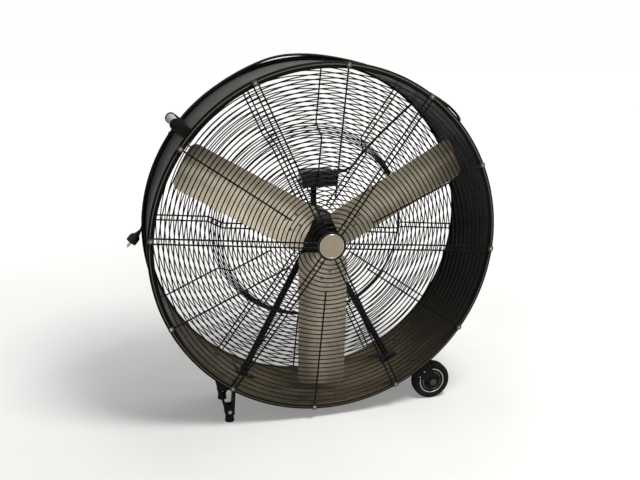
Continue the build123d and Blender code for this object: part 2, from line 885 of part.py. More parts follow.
plug_place = Plane(origin=cord_points[-1], x_dir=(0, 1, 0), z_dir=cord_path % 1)
with BuildPart() as plug:
    with BuildSketch(plug_place):
        Circle(cord_radius + 1.5)
    with BuildSketch(plug_place.offset(relief_length)):
        Circle(plug_radius * 0.55)
    loft()
    with BuildSketch(plug_place.offset(relief_length)):
        Circle(plug_radius * 0.8)
    with BuildSketch(plug_place.offset(relief_length + plug_length * 0.4)):
        Circle(plug_radius)
    loft()
    with BuildSketch(plug_place.offset(relief_length + plug_length * 0.4)):
        Circle(plug_radius)
    extrude(amount=plug_length * 0.6)
    with BuildSketch(plug_place.offset(relief_length + plug_length)):
        with GridLocations(pin_spacing, 0, 2, 1):
            Circle(pin_radius)
    extrude(amount=pin_length)

# ---- Handle ---------------------------------------------------------------------------------------
lug_depths = (middle_depth - lug_spacing / 2, middle_depth + lug_spacing / 2)
strap_bottom = shell_radius + seat_gap
strap_half_angle = degrees(asin(handle_width / 2 / strap_bottom))
handle_angles = (handle_angle - strap_half_angle, handle_angle + strap_half_angle)
with BuildPart() as handle_bracket:
    drum_sector(strap_bottom, strap_bottom + handle_sheet, handle_angles, (handle_front, handle_rear))
    for depth in lug_depths:
        with BuildSketch(facing(depth + lug_sheet / 2, handle_angle)):
            with Locations(((strap_bottom + 1 + lug_radius) / 2, 0)):
                Rectangle(lug_radius - strap_bottom - 1, handle_width)
            fillet(vertices().sort_by(SortBy.DISTANCE)[-2:], radius=handle_width / 2 - 1)
            with Locations((grip_line, 0)):
                Circle(handle_bolt_radius + bolt_gap, mode=Mode.SUBTRACT)
        extrude(amount=lug_sheet)
    with Locations(*[outward(handle_angle, strap_bottom + handle_sheet, depth) for depth in handle_bolt_depths]):
        Hole(radius=handle_bolt_radius + bolt_gap, depth=2 * handle_sheet)

with BuildPart() as handle_grip:
    with BuildSketch(facing(lug_depths[1] - lug_sheet / 2, handle_angle)):
        with Locations((grip_line, 0)):
            Circle(grip_radius)
            Circle(handle_bolt_radius + bolt_gap, mode=Mode.SUBTRACT)
    extrude(amount=lug_spacing - lug_sheet)
    fillet(edges().filter_by(GeomType.CIRCLE).group_by(SortBy.RADIUS)[-1], radius=2)

with BuildPart() as handle_bolt:
    with BuildSketch(facing(lug_depths[1] + lug_sheet / 2, handle_angle)):
        with Locations((grip_line, 0)):
            Circle(handle_bolt_radius)
    extrude(amount=lug_spacing + lug_sheet)
    for depth, side in ((lug_depths[0] - lug_sheet / 2, 1), (lug_depths[1] + lug_sheet / 2, -1)):
        with BuildSketch(facing(depth, handle_angle)):
            with Locations((grip_line, 0)):
                RegularPolygon(radius=2 * handle_bolt_radius, side_count=6)
        extrude(amount=side * handle_bolt_radius)

strap_bolts = drum_bolts(handle_bolt_places, strap_bottom + handle_sheet + seat_gap, inside)


# ---- Wheels ---------------------------------------------------------------------------------------
wheel_z = wheel_radius
axle_plane_z = wheel_z - axis_height
fork_inside = wheel_width + 2 * wheel_gap
fork_outside = fork_inside + 2 * fork_sheet


def at_axle(depth):
    """Plane across the fan, with its origin on the wheels' axle line."""
    return Plane(origin=(wheel_x, back(depth), wheel_z), x_dir=(1, 0, 0), z_dir=(0, -1, 0))


def leg_outline(top_radius, angles, low_centre, low_radius):
    """A plate that tapers from an arc along the drum down to a rounded end."""
    with BuildLine() as outline:
        top = CenterArc((0, 0), top_radius, angles[0], angles[1] - angles[0])
        low_left = (low_centre[0] - low_radius, low_centre[1])
        low_right = (low_centre[0] + low_radius, low_centre[1])
        Line(top @ 0, low_left)
        ThreePointArc(low_left, (low_centre[0], low_centre[1] - low_radius), low_right)
        Line(low_right, top @ 1)
    make_face(outline.edges())


def wheel_fork(depth):
    """A channel bent from sheet, with a web on the drum and a plate on each side of the wheel."""
    top = shell_radius + seat_gap
    with BuildPart() as fork:
        with BuildSketch(facing(depth + fork_outside / 2)):
            leg_outline(top, fork_angles, (wheel_x, axle_plane_z), fork_end_radius)
        extrude(amount=fork_outside)
        with BuildSketch(facing(depth + fork_inside / 2)):
            Rectangle(4 * rim_radius, 4 * rim_radius)
            Circle(top + fork_sheet, mode=Mode.SUBTRACT)
        extrude(amount=fork_inside, mode=Mode.SUBTRACT)
        with BuildSketch(at_axle(depth + fork_outside / 2)):
            Circle(axle_radius + bolt_gap)
        extrude(amount=fork_outside, mode=Mode.SUBTRACT)
        with Locations(outward(fork_angle, top + fork_sheet, depth)):
            Hole(radius=handle_bolt_radius + bolt_gap, depth=2 * fork_sheet)
    return fork


rim_inner = wheel_radius - tyre_thickness


def wheel_tyre(depth):
    """A solid rubber tyre with a rounded tread and a groove for the rim's flange."""
    half = wheel_width / 2
    with BuildPart() as tyre:
        with BuildSketch(Plane(origin=(wheel_x, back(depth), wheel_z), x_dir=(0, 1, 0), z_dir=(-1, 0, 0))):
            with BuildLine():
                Polyline((-half, wheel_radius - 5), (-half, rim_inner), (half, rim_inner), (half, wheel_radius - 5))
                ThreePointArc((half, wheel_radius - 5), (half - 2, wheel_radius - 1.2), (half - 6, wheel_radius))
                Line((half - 6, wheel_radius), (6 - half, wheel_radius))
                ThreePointArc((6 - half, wheel_radius), (2 - half, wheel_radius - 1.2), (-half, wheel_radius - 5))
            make_face()
        revolve(axis=Axis((wheel_x, back(depth), wheel_z), (0, 1, 0)))
    return tyre


def wheel_hub(depth):
    """A hub with a dished disc, a rim inside the tyre and a bore that turns on the axle."""
    half = wheel_width / 2
    bore = axle_radius + shaft_gap
    with BuildPart() as hub:
        with BuildSketch(Plane(origin=(wheel_x, back(depth), wheel_z), x_dir=(0, 1, 0), z_dir=(-1, 0, 0))):
            with BuildLine():
                right = [(half, bore), (half, 14), (half - 4, 17), (6, 30), (half - 5, 36), (half - 2, rim_inner)]
                left = [(-depth_here, radius) for depth_here, radius in reversed(right)]
                Polyline(*right, *left, close=True)
            make_face()
        revolve(axis=Axis((wheel_x, back(depth), wheel_z), (0, 1, 0)))
    return hub


def wheel_axle(depth):
    """A bolt through the fork and the wheel, with a head in front and a nut behind."""
    with BuildPart() as axle:
        with BuildSketch(at_axle(depth + fork_outside / 2 + nut_height + 3)):
            Circle(axle_radius)
        extrude(amount=fork_outside + nut_height + 3)
        with BuildSketch(at_axle(depth - fork_outside / 2)):
            RegularPolygon(radius=2 * axle_radius, side_count=6)
        extrude(amount=nut_height)
        with BuildSketch(at_axle(depth + fork_outside / 2)):
            RegularPolygon(radius=2 * axle_radius, side_count=6)
        extrude(amount=-nut_height)
    return axle


def wheel_spacers(depth):
    """Two washers that keep the wheel in the middle of its fork."""
    with BuildPart() as spacers:
        for start in (depth + fork_inside / 2, depth - wheel_width / 2 - seat_gap):
            with BuildSketch(at_axle(start)):
                Circle(2 * axle_radius - 1)
                Circle(axle_radius + bolt_gap, mode=Mode.SUBTRACT)
            extrude(amount=wheel_gap - seat_gap)
    return spacers


fork_top_inner = shell_radius + seat_gap + fork_sheet
fork_bolts = drum_bolts(fork_bolt_places, fork_top_inner + seat_gap, inside)


# ---- Feet ---------------------------------------------------------------------------------------
foot_low = foot_end_height + foot_end_width / 2 - axis_height


def foot_bracket(depth):
    """A channel that tapers from a web on the drum to a narrow end above the rubber foot."""
    top = shell_radius + seat_gap
    inner = foot_width - 2 * foot_sheet
    floor = foot_end_height - axis_height
    with BuildPart() as bracket:
        with BuildSketch(facing(depth + foot_width / 2)):
            with BuildLine():
                arc = CenterArc((0, 0), top, foot_angles[0], foot_angles[1] - foot_angles[0])
                left = foot_x - foot_end_width / 2
                right = foot_x + foot_end_width / 2
                Polyline(arc @ 0, (left, floor + 12), (left, floor), (right, floor), (right, floor + 12), arc @ 1)
            make_face()
        extrude(amount=foot_width)
        with BuildSketch(facing(depth + inner / 2)):
            with Locations((0, floor + foot_sheet + 2 * rim_radius)):
                Rectangle(4 * rim_radius, 4 * rim_radius)
            Circle(top + foot_sheet, mode=Mode.SUBTRACT)
        extrude(amount=inner, mode=Mode.SUBTRACT)
        with BuildSketch(facing(depth + foot_width / 2)):
            with Locations((foot_x, foot_bolt_height - axis_height)):
                Circle(foot_bolt_radius + bolt_gap)
        extrude(amount=foot_width, mode=Mode.SUBTRACT)
        with Locations(Plane(origin=(foot_x, back(depth), foot_end_height + foot_sheet))):
            Hole(radius=foot_stem_radius + bolt_gap, depth=2 * foot_sheet)
        with Locations(outward(foot_angle, top + foot_sheet, depth)):
            Hole(radius=handle_bolt_radius + bolt_gap, depth=2 * foot_sheet)
    return bracket


def rubber_foot(depth):
    """A tapered rubber foot with a stem that passes up into the bracket."""
    with BuildPart() as foot:
        with BuildSketch(Plane(origin=(foot_x, back(depth), 0))):
            Circle(rubber_radius)
        with BuildSketch(Plane(origin=(foot_x, back(depth), foot_end_height))):
            Circle(rubber_top_radius)
        loft()
        with BuildSketch(Plane(origin=(foot_x, back(depth), foot_end_height))):
            Circle(foot_stem_radius)
        extrude(amount=foot_stem_length)
        with BuildSketch(facing(depth + foot_width / 2)):
            with Locations((foot_x, foot_bolt_height - axis_height)):
                Circle(foot_bolt_radius + bolt_gap)
        extrude(amount=foot_width, mode=Mode.SUBTRACT)
    return foot


with BuildPart() as foot_bolts:
    for depth in foot_depths:
        with BuildSketch(facing(depth + foot_width / 2 + 6)):
            with Locations((foot_x, foot_bolt_height - axis_height)):
                Circle(foot_bolt_radius)
        extrude(amount=foot_width + 6)
        for face, side in ((depth - foot_width / 2, 1), (depth + foot_width / 2, -1)):
            with BuildSketch(facing(face)):
                with Locations((foot_x, foot_bolt_height - axis_height)):
                    Circle(2.6 * foot_bolt_radius)
            extrude(amount=side * 1.5)
            with BuildSketch(facing(face - side * 1.5)):
                with Locations((foot_x, foot_bolt_height - axis_height)):
                    RegularPolygon(radius=2 * foot_bolt_radius, side_count=6)
            extrude(amount=side * foot_bolt_radius)

foot_top_inner = shell_radius + seat_gap + foot_sheet
bracket_bolts = drum_bolts(foot_bolt_places, foot_top_inner + seat_gap, inside)

# ---- Files ----------------------------------------------------------------------------------------
pieces = {
    "drum_shell": drum_shell,
    "front_guard": front_guard,
    "rear_guard": rear_guard,
    "front_guard_screws": front_guard_screws,
    "rear_guard_screws": rear_guard_screws,
    "guard_centre_plate": guard_centre_plate,
    "centre_badge": centre_badge,
    "hub_spider": hub_spider,
    "blade_rivets": blade_rivets,
    "hub_set_screw": hub_set_screw,
    "motor_shaft": motor_shaft,
    "rotor_core": rotor_core,
    "motor_shell": motor_shell,
    "motor_front_bell": motor_front_bell,
    "motor_rear_bell": motor_rear_bell,
    "front_bearing": front_bearing,
    "rear_bearing": rear_bearing,
    "stator_core": stator_core,
    "stator_windings": stator_windings,
    "motor_cradle": motor_cradle,
    "motor_leg_left": motor_leg_left,
    "motor_leg_right": motor_leg_right,
    "leg_bolts": leg_bolts,
    "switch_box": switch_box,
    "switch_box_lid": switch_box_lid,
    "lid_screws": lid_screws,
    "switch_neck": switch_neck,
    "speed_switch": speed_switch,
    "capacitor": capacitor,
    "speed_knob": speed_knob,
    "cord_gland": cord_gland,
    "cord": cord,
    "plug": plug,
    "handle_bracket": handle_bracket,
    "handle_grip": handle_grip,
    "handle_bolt": handle_bolt,
    "strap_bolts": strap_bolts,
    "fork_bolts": fork_bolts,
    "bracket_bolts": bracket_bolts,
    "foot_bolts": foot_bolts,
}
for number, blade in enumerate(blades, start=1):
    pieces[f"fan_blade_{number}"] = blade
for side, wheel_depth, foot_depth in zip(("front", "rear"), wheel_depths, foot_depths):
    pieces[f"{side}_wheel_fork"] = wheel_fork(wheel_depth)
    pieces[f"{side}_wheel_tyre"] = wheel_tyre(wheel_depth)
    pieces[f"{side}_wheel_hub"] = wheel_hub(wheel_depth)
    pieces[f"{side}_wheel_axle"] = wheel_axle(wheel_depth)
    pieces[f"{side}_wheel_spacers"] = wheel_spacers(wheel_depth)
    pieces[f"{side}_foot_bracket"] = foot_bracket(foot_depth)
    pieces[f"{side}_rubber_foot"] = rubber_foot(foot_depth)

for name, piece in pieces.items():
    piece.part.label = name
    export_step(piece.part, f"parts/{name}.step")
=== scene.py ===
"""Looks of a drum fan on two wheels and two rubber feet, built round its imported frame.

Places along the fan are depths behind the face of the front rim, and angles are turned from
+X towards +Z about the fan's axis. Lengths are in metres. A profile is a list of
(depth, radius) points that is turned about an axis.
"""

import json
from math import cos, pi, radians, sin

import bmesh
import bpy
from mathutils import Matrix, Vector
from mathutils.geometry import tessellate_polygon


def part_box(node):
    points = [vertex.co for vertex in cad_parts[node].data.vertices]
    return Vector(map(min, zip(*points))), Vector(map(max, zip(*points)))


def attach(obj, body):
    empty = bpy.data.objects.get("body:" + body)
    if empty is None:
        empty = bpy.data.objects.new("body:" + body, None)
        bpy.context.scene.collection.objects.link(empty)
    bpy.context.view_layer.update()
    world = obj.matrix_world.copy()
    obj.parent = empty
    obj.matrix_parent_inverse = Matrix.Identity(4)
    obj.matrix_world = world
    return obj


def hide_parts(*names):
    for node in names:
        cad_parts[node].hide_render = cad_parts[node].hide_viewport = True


bl_info = {
    "name": "Drum Fan",
    "version": (1, 0, 0),
    "blender": (4, 5, 0),
    "location": "3D View > Sidebar > Drum Fan",
    "description": "Builds the guards, cord, wheels and finishes of a drum fan over its frame",
    "category": "Object",
}

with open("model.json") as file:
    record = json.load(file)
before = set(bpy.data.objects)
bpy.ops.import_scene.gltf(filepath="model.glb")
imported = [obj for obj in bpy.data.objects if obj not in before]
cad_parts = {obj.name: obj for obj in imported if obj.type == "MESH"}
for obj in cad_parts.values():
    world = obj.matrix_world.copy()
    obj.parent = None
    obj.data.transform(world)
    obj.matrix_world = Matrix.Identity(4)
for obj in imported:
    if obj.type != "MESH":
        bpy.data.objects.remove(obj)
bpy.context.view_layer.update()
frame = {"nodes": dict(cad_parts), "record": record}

drum_low, drum_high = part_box("drum_shell")
AXIS_HEIGHT = (drum_low.z + drum_high.z) / 2
RIM_RADIUS = (drum_high.z - drum_low.z) / 2
RIM_FACE = drum_low.y
DRUM_DEPTH = drum_high.y - drum_low.y
DRUM_SHEET, RIM_RISE = 0.0025, 0.0135
SHELL_RADIUS = RIM_RADIUS - RIM_RISE


# ---- Places ---------------------------------------------------------------------------------
def at(x, depth, height):
    """A place given by x, depth behind the front rim and height above the fan's axis."""
    return Vector((x, RIM_FACE + depth, AXIS_HEIGHT + height))


def on_drum(angle, radius, depth):
    """A place given by its angle and radius about the fan's axis."""
    return at(radius * cos(radians(angle)), depth, radius * sin(radians(angle)))


FAN_PLACE = Matrix.Translation((0, RIM_FACE, AXIS_HEIGHT))


# ---- Sizes and colours ----------------------------------------------------------------------
def length(name, description, default):
    return bpy.props.FloatProperty(
        name=name,
        description=description,
        default=default,
        min=0,
        unit="LENGTH",
        subtype="DISTANCE",
        precision=4,
    )


def angle(name, description, default):
    return bpy.props.FloatProperty(
        name=name,
        description=description,
        default=radians(default),
        unit="ROTATION",
        subtype="ANGLE",
    )


def colour(name, description, default):
    return bpy.props.FloatVectorProperty(
        name=name, description=description, default=default, size=3, min=0, max=1, subtype="COLOR"
    )


def count(name, description, default):
    return bpy.props.IntProperty(name=name, description=description, default=default, min=1)


class GuardSizes(bpy.types.PropertyGroup):
    """Sizes of the two wire guards and their screws."""

    ring_pitch: length("Ring Pitch", "Distance between neighbouring ring wires", 0.0139)
    ring_wire: length("Ring Wire", "Radius of a ring wire", 0.0019)
    spoke_wire: length("Spoke Wire", "Radius of a spoke wire", 0.0025)
    ring_rise: length("Ring Rise", "Distance from a spoke's middle to a ring's middle", 0.0035)
    edge_radius: length("Edge Radius", "Radius of the outermost ring", 0.517)
    spoke_end: length("Spoke End", "Radius at which the paired spokes end", 0.547)
    clip_radius: length("Screw Circle", "Radius of the circle of guard screws", 0.541)
    eye_radius: length("Eye Radius", "Radius of the wire eye round a guard screw", 0.0062)
    pair_gap: length("Pair Gap", "Distance between the two spokes of a pair", 0.016)
    crown: length("Crown", "Rise of the front guard's middle before the rim", 0.009)
    flat_radius: length("Flat Radius", "Radius of the front guard's flat middle", 0.090)
    front_hole: length("Front Inner Ring", "Radius of the front guard's innermost ring", 0.060)
    recess_depth: length("Recess Depth", "How far the rear guard's middle is set in", 0.085)
    recess_mouth: length("Recess Mouth", "Radius where the rear guard turns inwards", 0.336)
    recess_floor: length("Recess Floor", "Radius of the rear guard's set-in middle", 0.301)
    rear_hole: length("Rear Inner Ring", "Radius of the rear guard's innermost ring", 0.085)
    front_pair_end: length("Front Pair End", "Radius at which the front paired spokes end", 0.030)
    front_single_end: length("Front Single End", "Radius at which the single spokes end", 0.147)
    rear_single_end: length("Rear Single End", "Radius at which the single spokes end", 0.155)
    phase: angle("Phase", "Angle of the first pair of spokes", -5.6)
    pairs: count("Pairs", "Pairs of spokes in a guard", 6)


class CordSizes(bpy.types.PropertyGroup):
    """Sizes of the mains cord and its plug."""

    cord_radius: length("Cord Radius", "Radius of the mains cord", 0.004)
    relief_length: length("Relief Length", "Length of the tapered sleeve at the switch box", 0.034)
    plug_radius: length("Plug Radius", "Radius of the plug's body", 0.0175)
    pin_radius: length("Pin Radius", "Radius of a plug pin", 0.0024)
    pin_spacing: length("Pin Spacing", "Distance between the plug's pins", 0.019)


class WheelSizes(bpy.types.PropertyGroup):
    """Sizes of the wheels."""

    radius: length("Wheel Radius", "Radius of the tyre", 0.0645)
    width: length("Wheel Width", "Width of the tyre", 0.036)
    rim_radius: length("Rim Radius", "Radius at which the tyre meets the hub", 0.0455)
    bore: length("Bore", "Radius of the hub's bore", 0.00605)


class FootSizes(bpy.types.PropertyGroup):
    """Sizes of the feet's brackets."""

    across: length("Place Across", "Foot's place to the left of the drum's axis", 0.318)
    first_angle: angle("First Angle", "Where a bracket's web begins on the drum", -133.5)
    last_angle: angle("Last Angle", "Where a bracket's web ends on the drum", -123.5)
    end_width: length("End Width", "Width of a bracket's lower end", 0.030)
    end_height: length("End Height", "Height of a bracket's lower end above the floor", 0.026)
    width: length("Width", "Outer width of a bracket along the drum's axis", 0.034)
    sheet: length("Sheet", "Thickness of a bracket's sheet", 0.003)
    bolt_height: length("Bolt Height", "Height of the cross bolt above the floor", 0.037)


class FinishColours(bpy.types.PropertyGroup):
    """Colours of the main finishes."""

    black_paint: colour("Black Paint", "Satin paint of drum and fittings", (0.0045, 0.0044, 0.0038))
    # This dust colour also carries painted light and shade low inside the drum and on the blades'
    # tips.
    dust: colour("Dust", "Dust that lies inside the drum and on the blades", (0.165, 0.13, 0.078))
    # Painted light: the outer skin is the same black paint, made paler for the light it catches.
    painted_lit_skin: colour("Outer Skin", "Paler paint on the drum's outer skin", (0.05, 0.052, 0.047))
    # Painted highlight: a pale line on the rims' front faces that stands for the light their
    # rounded shoulder reflects.
    painted_rim_highlight: colour("Rubbed Rim", "Line where the rims' paint is rubbed", (0.11, 0.11, 0.1))
    wire_black: colour("Wire Black", "Gloss coating of the guards' wires", (0.003, 0.003, 0.003))
    blade_metal: colour("Blade Metal", "Sheet of the blades", (0.80, 0.71, 0.53))
    blade_flecks: colour("Blade Flecks", "Small dark flecks on the blades", (0.05, 0.045, 0.04))
    # Painted shade: the darker band on the blades' trailing edges stands for the shading of their
    # camber.
    blade_edge_shade: colour("Blade Edge", "Grime on the blades' trailing edges", (0.12, 0.098, 0.062))
    # Painted sheen: the paler strip along the blades' middle stands for the light their camber
    # catches there.
    blade_middle_sheen: colour("Blade Middle", "Cleaner strip along the blades", (0.8, 0.73, 0.58))
    steel: colour("Steel", "Bare steel of screws, rings and shafts", (0.42, 0.41, 0.39))
    bronze: colour("Bronze", "Yellowed plating of the washers", (0.075, 0.057, 0.034))
    badge_metal: colour("Badge Metal", "Blank disc in the middle of the guard", (0.29, 0.24, 0.175))
    rubber: colour("Rubber", "Tyres, feet, cord and plug", (0.007, 0.007, 0.007))
    grip: colour("Grip", "Sleeve of the carrying handle", (0.30, 0.29, 0.27))


# ---- Finishes -------------------------------------------------------------------------------
class Nodes:
    """Adds nodes to a tree and joins them."""

    def __init__(self, tree):
        self.tree = tree

    def add(self, kind, inputs=None, **settings):
        node = self.tree.nodes.new(kind)
        for name, value in settings.items():
            setattr(node, name, value)
        for name, value in (inputs or {}).items():
            socket = node.inputs[name]
            if isinstance(value, bpy.types.NodeSocket):
                self.tree.links.new(value, socket)
            else:
                socket.default_value = value
        return node

    def out(self, kind, output, inputs=None, **settings):
        """One output of a new node."""
        return self.add(kind, inputs, **settings).outputs[output]

    def math(self, operation, *values):
        """The value of a new Math node."""
        return self.out("ShaderNodeMath", "Value", dict(enumerate(values)), operation=operation)

    def product(self, one, other):
        """The product of two values."""
        return self.math("MULTIPLY", one, other)

    def vector(self, operation, output, *values):
        """One output of a new Vector Math node."""
        inputs = dict(enumerate(values))
        return self.out("ShaderNodeVectorMath", output, inputs, operation=operation)


def scaled(values, by):
    """A lighter or darker copy of a colour."""
    return [value * by for value in values]


def spread_between(nodes, value, low, high, start=0.35, end=0.65):
    """A value that runs from low to high as another goes from start to end."""
    inputs = {"Value": value, "From Min": start, "From Max": end, "To Min": low, "To Max": high}
    return nodes.out("ShaderNodeMapRange", "Result", inputs)


def band(nodes, value, rise, fall, top=1):
    """A share that goes up to top over one span of a value and down over the next."""
    up = spread_between(nodes, value, 0, top, *rise)
    return nodes.product(up, spread_between(nodes, value, 1, 0, *fall))


def between_colours(nodes, share, first, second):
    """A mix of two colours, each written out or another node's."""
    mix = nodes.add("ShaderNodeMix", data_type="RGBA")
    nodes.tree.links.new(share, mix.inputs["Factor"])
    for socket, value in ((mix.inputs[6], first), (mix.inputs[7], second)):
        if isinstance(value, bpy.types.NodeSocket):
            nodes.tree.links.new(value, socket)
        else:
            socket.default_value = (*value, 1)
    return mix.outputs[2]


def noise(nodes, place, scale, detail=3, stretch=None, distortion=0):
    """A noise value over a place, drawn out along an axis by stretch."""
    if stretch:
        place = nodes.out("ShaderNodeMapping", "Vector", {"Vector": place, "Scale": stretch})
    inputs = {"Vector": place, "Scale": scale, "Detail": detail, "Distortion": distortion}
    return nodes.out("ShaderNodeTexNoise", "Fac", inputs)


def finish(
    name,
    base,
    second,
    rough,
    patch=9.0,
    grain=420.0,
    bump=0.12,
    bump_size=0.0002,
    metallic=0.0,
    specular=0.5,
    stretch=None,
    dust=0.0,
    dust_colour=(0.16, 0.135, 0.105),
):
    """A material whose colour, roughness and surface vary; if asked for, upward faces get dust,
    which on the switch box is also painted light on its top.
    """
    material = bpy.data.materials.new(name)
    material.use_nodes = True
    nodes = Nodes(material.node_tree)
    shader = material.node_tree.nodes["Principled BSDF"]
    place = nodes.out("ShaderNodeTexCoord", "Object")
    patches = spread_between(nodes, noise(nodes, place, patch, 4, stretch), 0, 1)
    colours = between_colours(nodes, patches, base, second)
    roughness = spread_between(nodes, noise(nodes, place, patch * 2.3, 5), *rough, 0.3, 0.7)
    # Upward faces made lighter: settled dust, which on the switch box also serves as painted light
    # on its top.
    if dust:
        normal = nodes.out("ShaderNodeNewGeometry", "Normal")
        up = nodes.out("ShaderNodeSeparateXYZ", "Z", {"Vector": normal})
        dust_and_top_light = spread_between(nodes, up, 0, dust, 0.2, 1)
        speckles = spread_between(nodes, noise(nodes, place, patch * 3, 6), 0.4, 1)
        dust_and_top_light = nodes.product(dust_and_top_light, speckles)
        colours = between_colours(nodes, dust_and_top_light, colours, dust_colour)
    fine = noise(nodes, place, grain, 2, stretch)
    inputs = {"Height": fine, "Strength": bump, "Distance": bump_size}
    bumps = nodes.out("ShaderNodeBump", "Normal", inputs)
    for socket, value in (("Base Color", colours), ("Roughness", roughness), ("Normal", bumps)):
        material.node_tree.links.new(value, shader.inputs[socket])
    shader.inputs["Metallic"].default_value = metallic
    shader.inputs["Specular IOR Level"].default_value = specular
    return material


def fan_places(material):
    """A material's nodes, its colour, its place, and the place's offset from the drum's mouth."""
    nodes = Nodes(material.node_tree)
    plain = nodes.tree.nodes["Principled BSDF"].inputs["Base Color"].links[0].from_socket
    place = nodes.out("ShaderNodeTexCoord", "Object")
    offset = nodes.vector("SUBTRACT", "Vector", place, (0, RIM_FACE, AXIS_HEIGHT))
    return nodes, plain, place, offset


def recolour(nodes, colour):
    nodes.tree.links.new(colour, nodes.tree.nodes["Principled BSDF"].inputs["Base Color"])


def drum_paint(colours):
    """Satin black paint, paler on the outer skin as painted light, with a painted highlight line on
    the rims and dust low inside that is partly painted light and shade.
    """
    black = colours.black_paint
    material = finish("drum_paint", black, scaled(black, 1.7), (0.3, 0.48), 5, specular=0.01)
    nodes, plain, place, offset = fan_places(material)
    parts = nodes.add("ShaderNodeSeparateXYZ", {"Vector": offset}).outputs
    radius = nodes.vector("LENGTH", "Value", nodes.vector("MULTIPLY", "Vector", offset, (1, 0, 1)))

    # Painted light: the outer skin between the rims is paler for the light it catches, while the
    # inside stays dark.
    outer, edge = SHELL_RADIUS, DRUM_DEPTH
    skin = band(nodes, radius, (outer - 0.0008, outer - 0.0003), (outer + 0.0003, outer + 0.0008))
    between_rims = band(nodes, parts["Y"], (0.003, 0.006), (edge - 0.006, edge - 0.003))
    skin = nodes.product(skin, between_rims)
    paint = between_colours(nodes, skin, plain, colours.painted_lit_skin)

    # Painted highlight: a pale band just inside the rims' outer edge, for the reflection on their
    # rounded shoulder.
    rim = RIM_RADIUS
    highlit = band(nodes, radius, (rim - 0.0098, rim - 0.0088), (rim - 0.0068, rim - 0.0058), 0.8)
    paint = between_colours(nodes, highlit, paint, colours.painted_rim_highlight)

    # Dust settled low inside the drum, fading towards +X: partly dust, partly painted light on the
    # bottom and painted shade on the right side.
    inside = spread_between(nodes, radius, 1, 0, outer - 0.002, outer - 0.001)
    low = spread_between(nodes, parts["Z"], 1.0, 0.0, -0.5, -0.22)
    low = nodes.product(low, spread_between(nodes, parts["X"], 1.0, 0.25, 0.1, 0.42))
    streaks = spread_between(nodes, noise(nodes, place, 7, 6, (1, 3.2, 1), 0.4), 0.45, 1)
    dust_light_and_shade = nodes.product(nodes.product(inside, low), streaks)
    recolour(nodes, between_colours(nodes, dust_light_and_shade, paint, scaled(colours.dust, 1.1)))
    return material


def blade_sheet(colours):
    """Dusty grey sheet with brown blotches, tips darkened by dust and painted shade, painted shade
    on the trailing edges and a painted sheen along the middle.
    """
    metal, dust = colours.blade_metal, colours.dust
    material = finish(
        "blade_aluminium", metal, scaled(metal, 0.82), (0.5, 0.72), 6, 260, 0.1, metallic=0.1
    )
    nodes, sheet, place, offset = fan_places(material)
    blotches = spread_between(nodes, noise(nodes, place, 16, 8, None, 0.6), 0, 0.45, 0.5, 0.75)
    sheet = between_colours(nodes, blotches, sheet, scaled(dust, 0.9))
    flecks = spread_between(nodes, noise(nodes, place, 160, 3), 0, 0.35, 0.6, 0.72)
    sheet = between_colours(nodes, flecks, sheet, colours.blade_flecks)
    radius = nodes.vector("LENGTH", "Value", offset)
    # Tips darker and browner: partly dust, partly painted shade that the drum's shell casts on
    # them.
    uneven = nodes.math("MULTIPLY_ADD", noise(nodes, place, 9, 5), 0.16, radius)
    tip_dust_and_shade = spread_between(nodes, uneven, 0, 0.86, 0.32, 0.62)
    sheet = between_colours(nodes, tip_dust_and_shade, sheet, scaled(dust, 0.75))

    # Across is the distance from the middle line of the nearest blade at rest.
    parts = nodes.add("ShaderNodeSeparateXYZ", {"Vector": offset}).outputs
    turn = nodes.math("SUBTRACT", nodes.math("ARCTAN2", parts["Z"], parts["X"]), pi / 6)
    sine = nodes.math("SINE", nodes.math("WRAP", turn, pi / 3, -pi / 3))
    ragged = nodes.product(noise(nodes, place, 12, 4), 0.02)
    across = nodes.math("MULTIPLY_ADD", sine, radius, ragged)
    # Painted shade on the trailing edges, where the blades' camber turns from the light.
    trailing = spread_between(nodes, across, 0.5, 0, -0.046, -0.018)
    sheet = between_colours(nodes, trailing, sheet, colours.blade_edge_shade)
    # Painted sheen along the blades' middle, for the light their camber catches there.
    painted_sheen = band(nodes, across, (-0.012, 0.0), (0.008, 0.03), 0.3)
    recolour(nodes, between_colours(nodes, painted_sheen, sheet, colours.blade_middle_sheen))
    return material


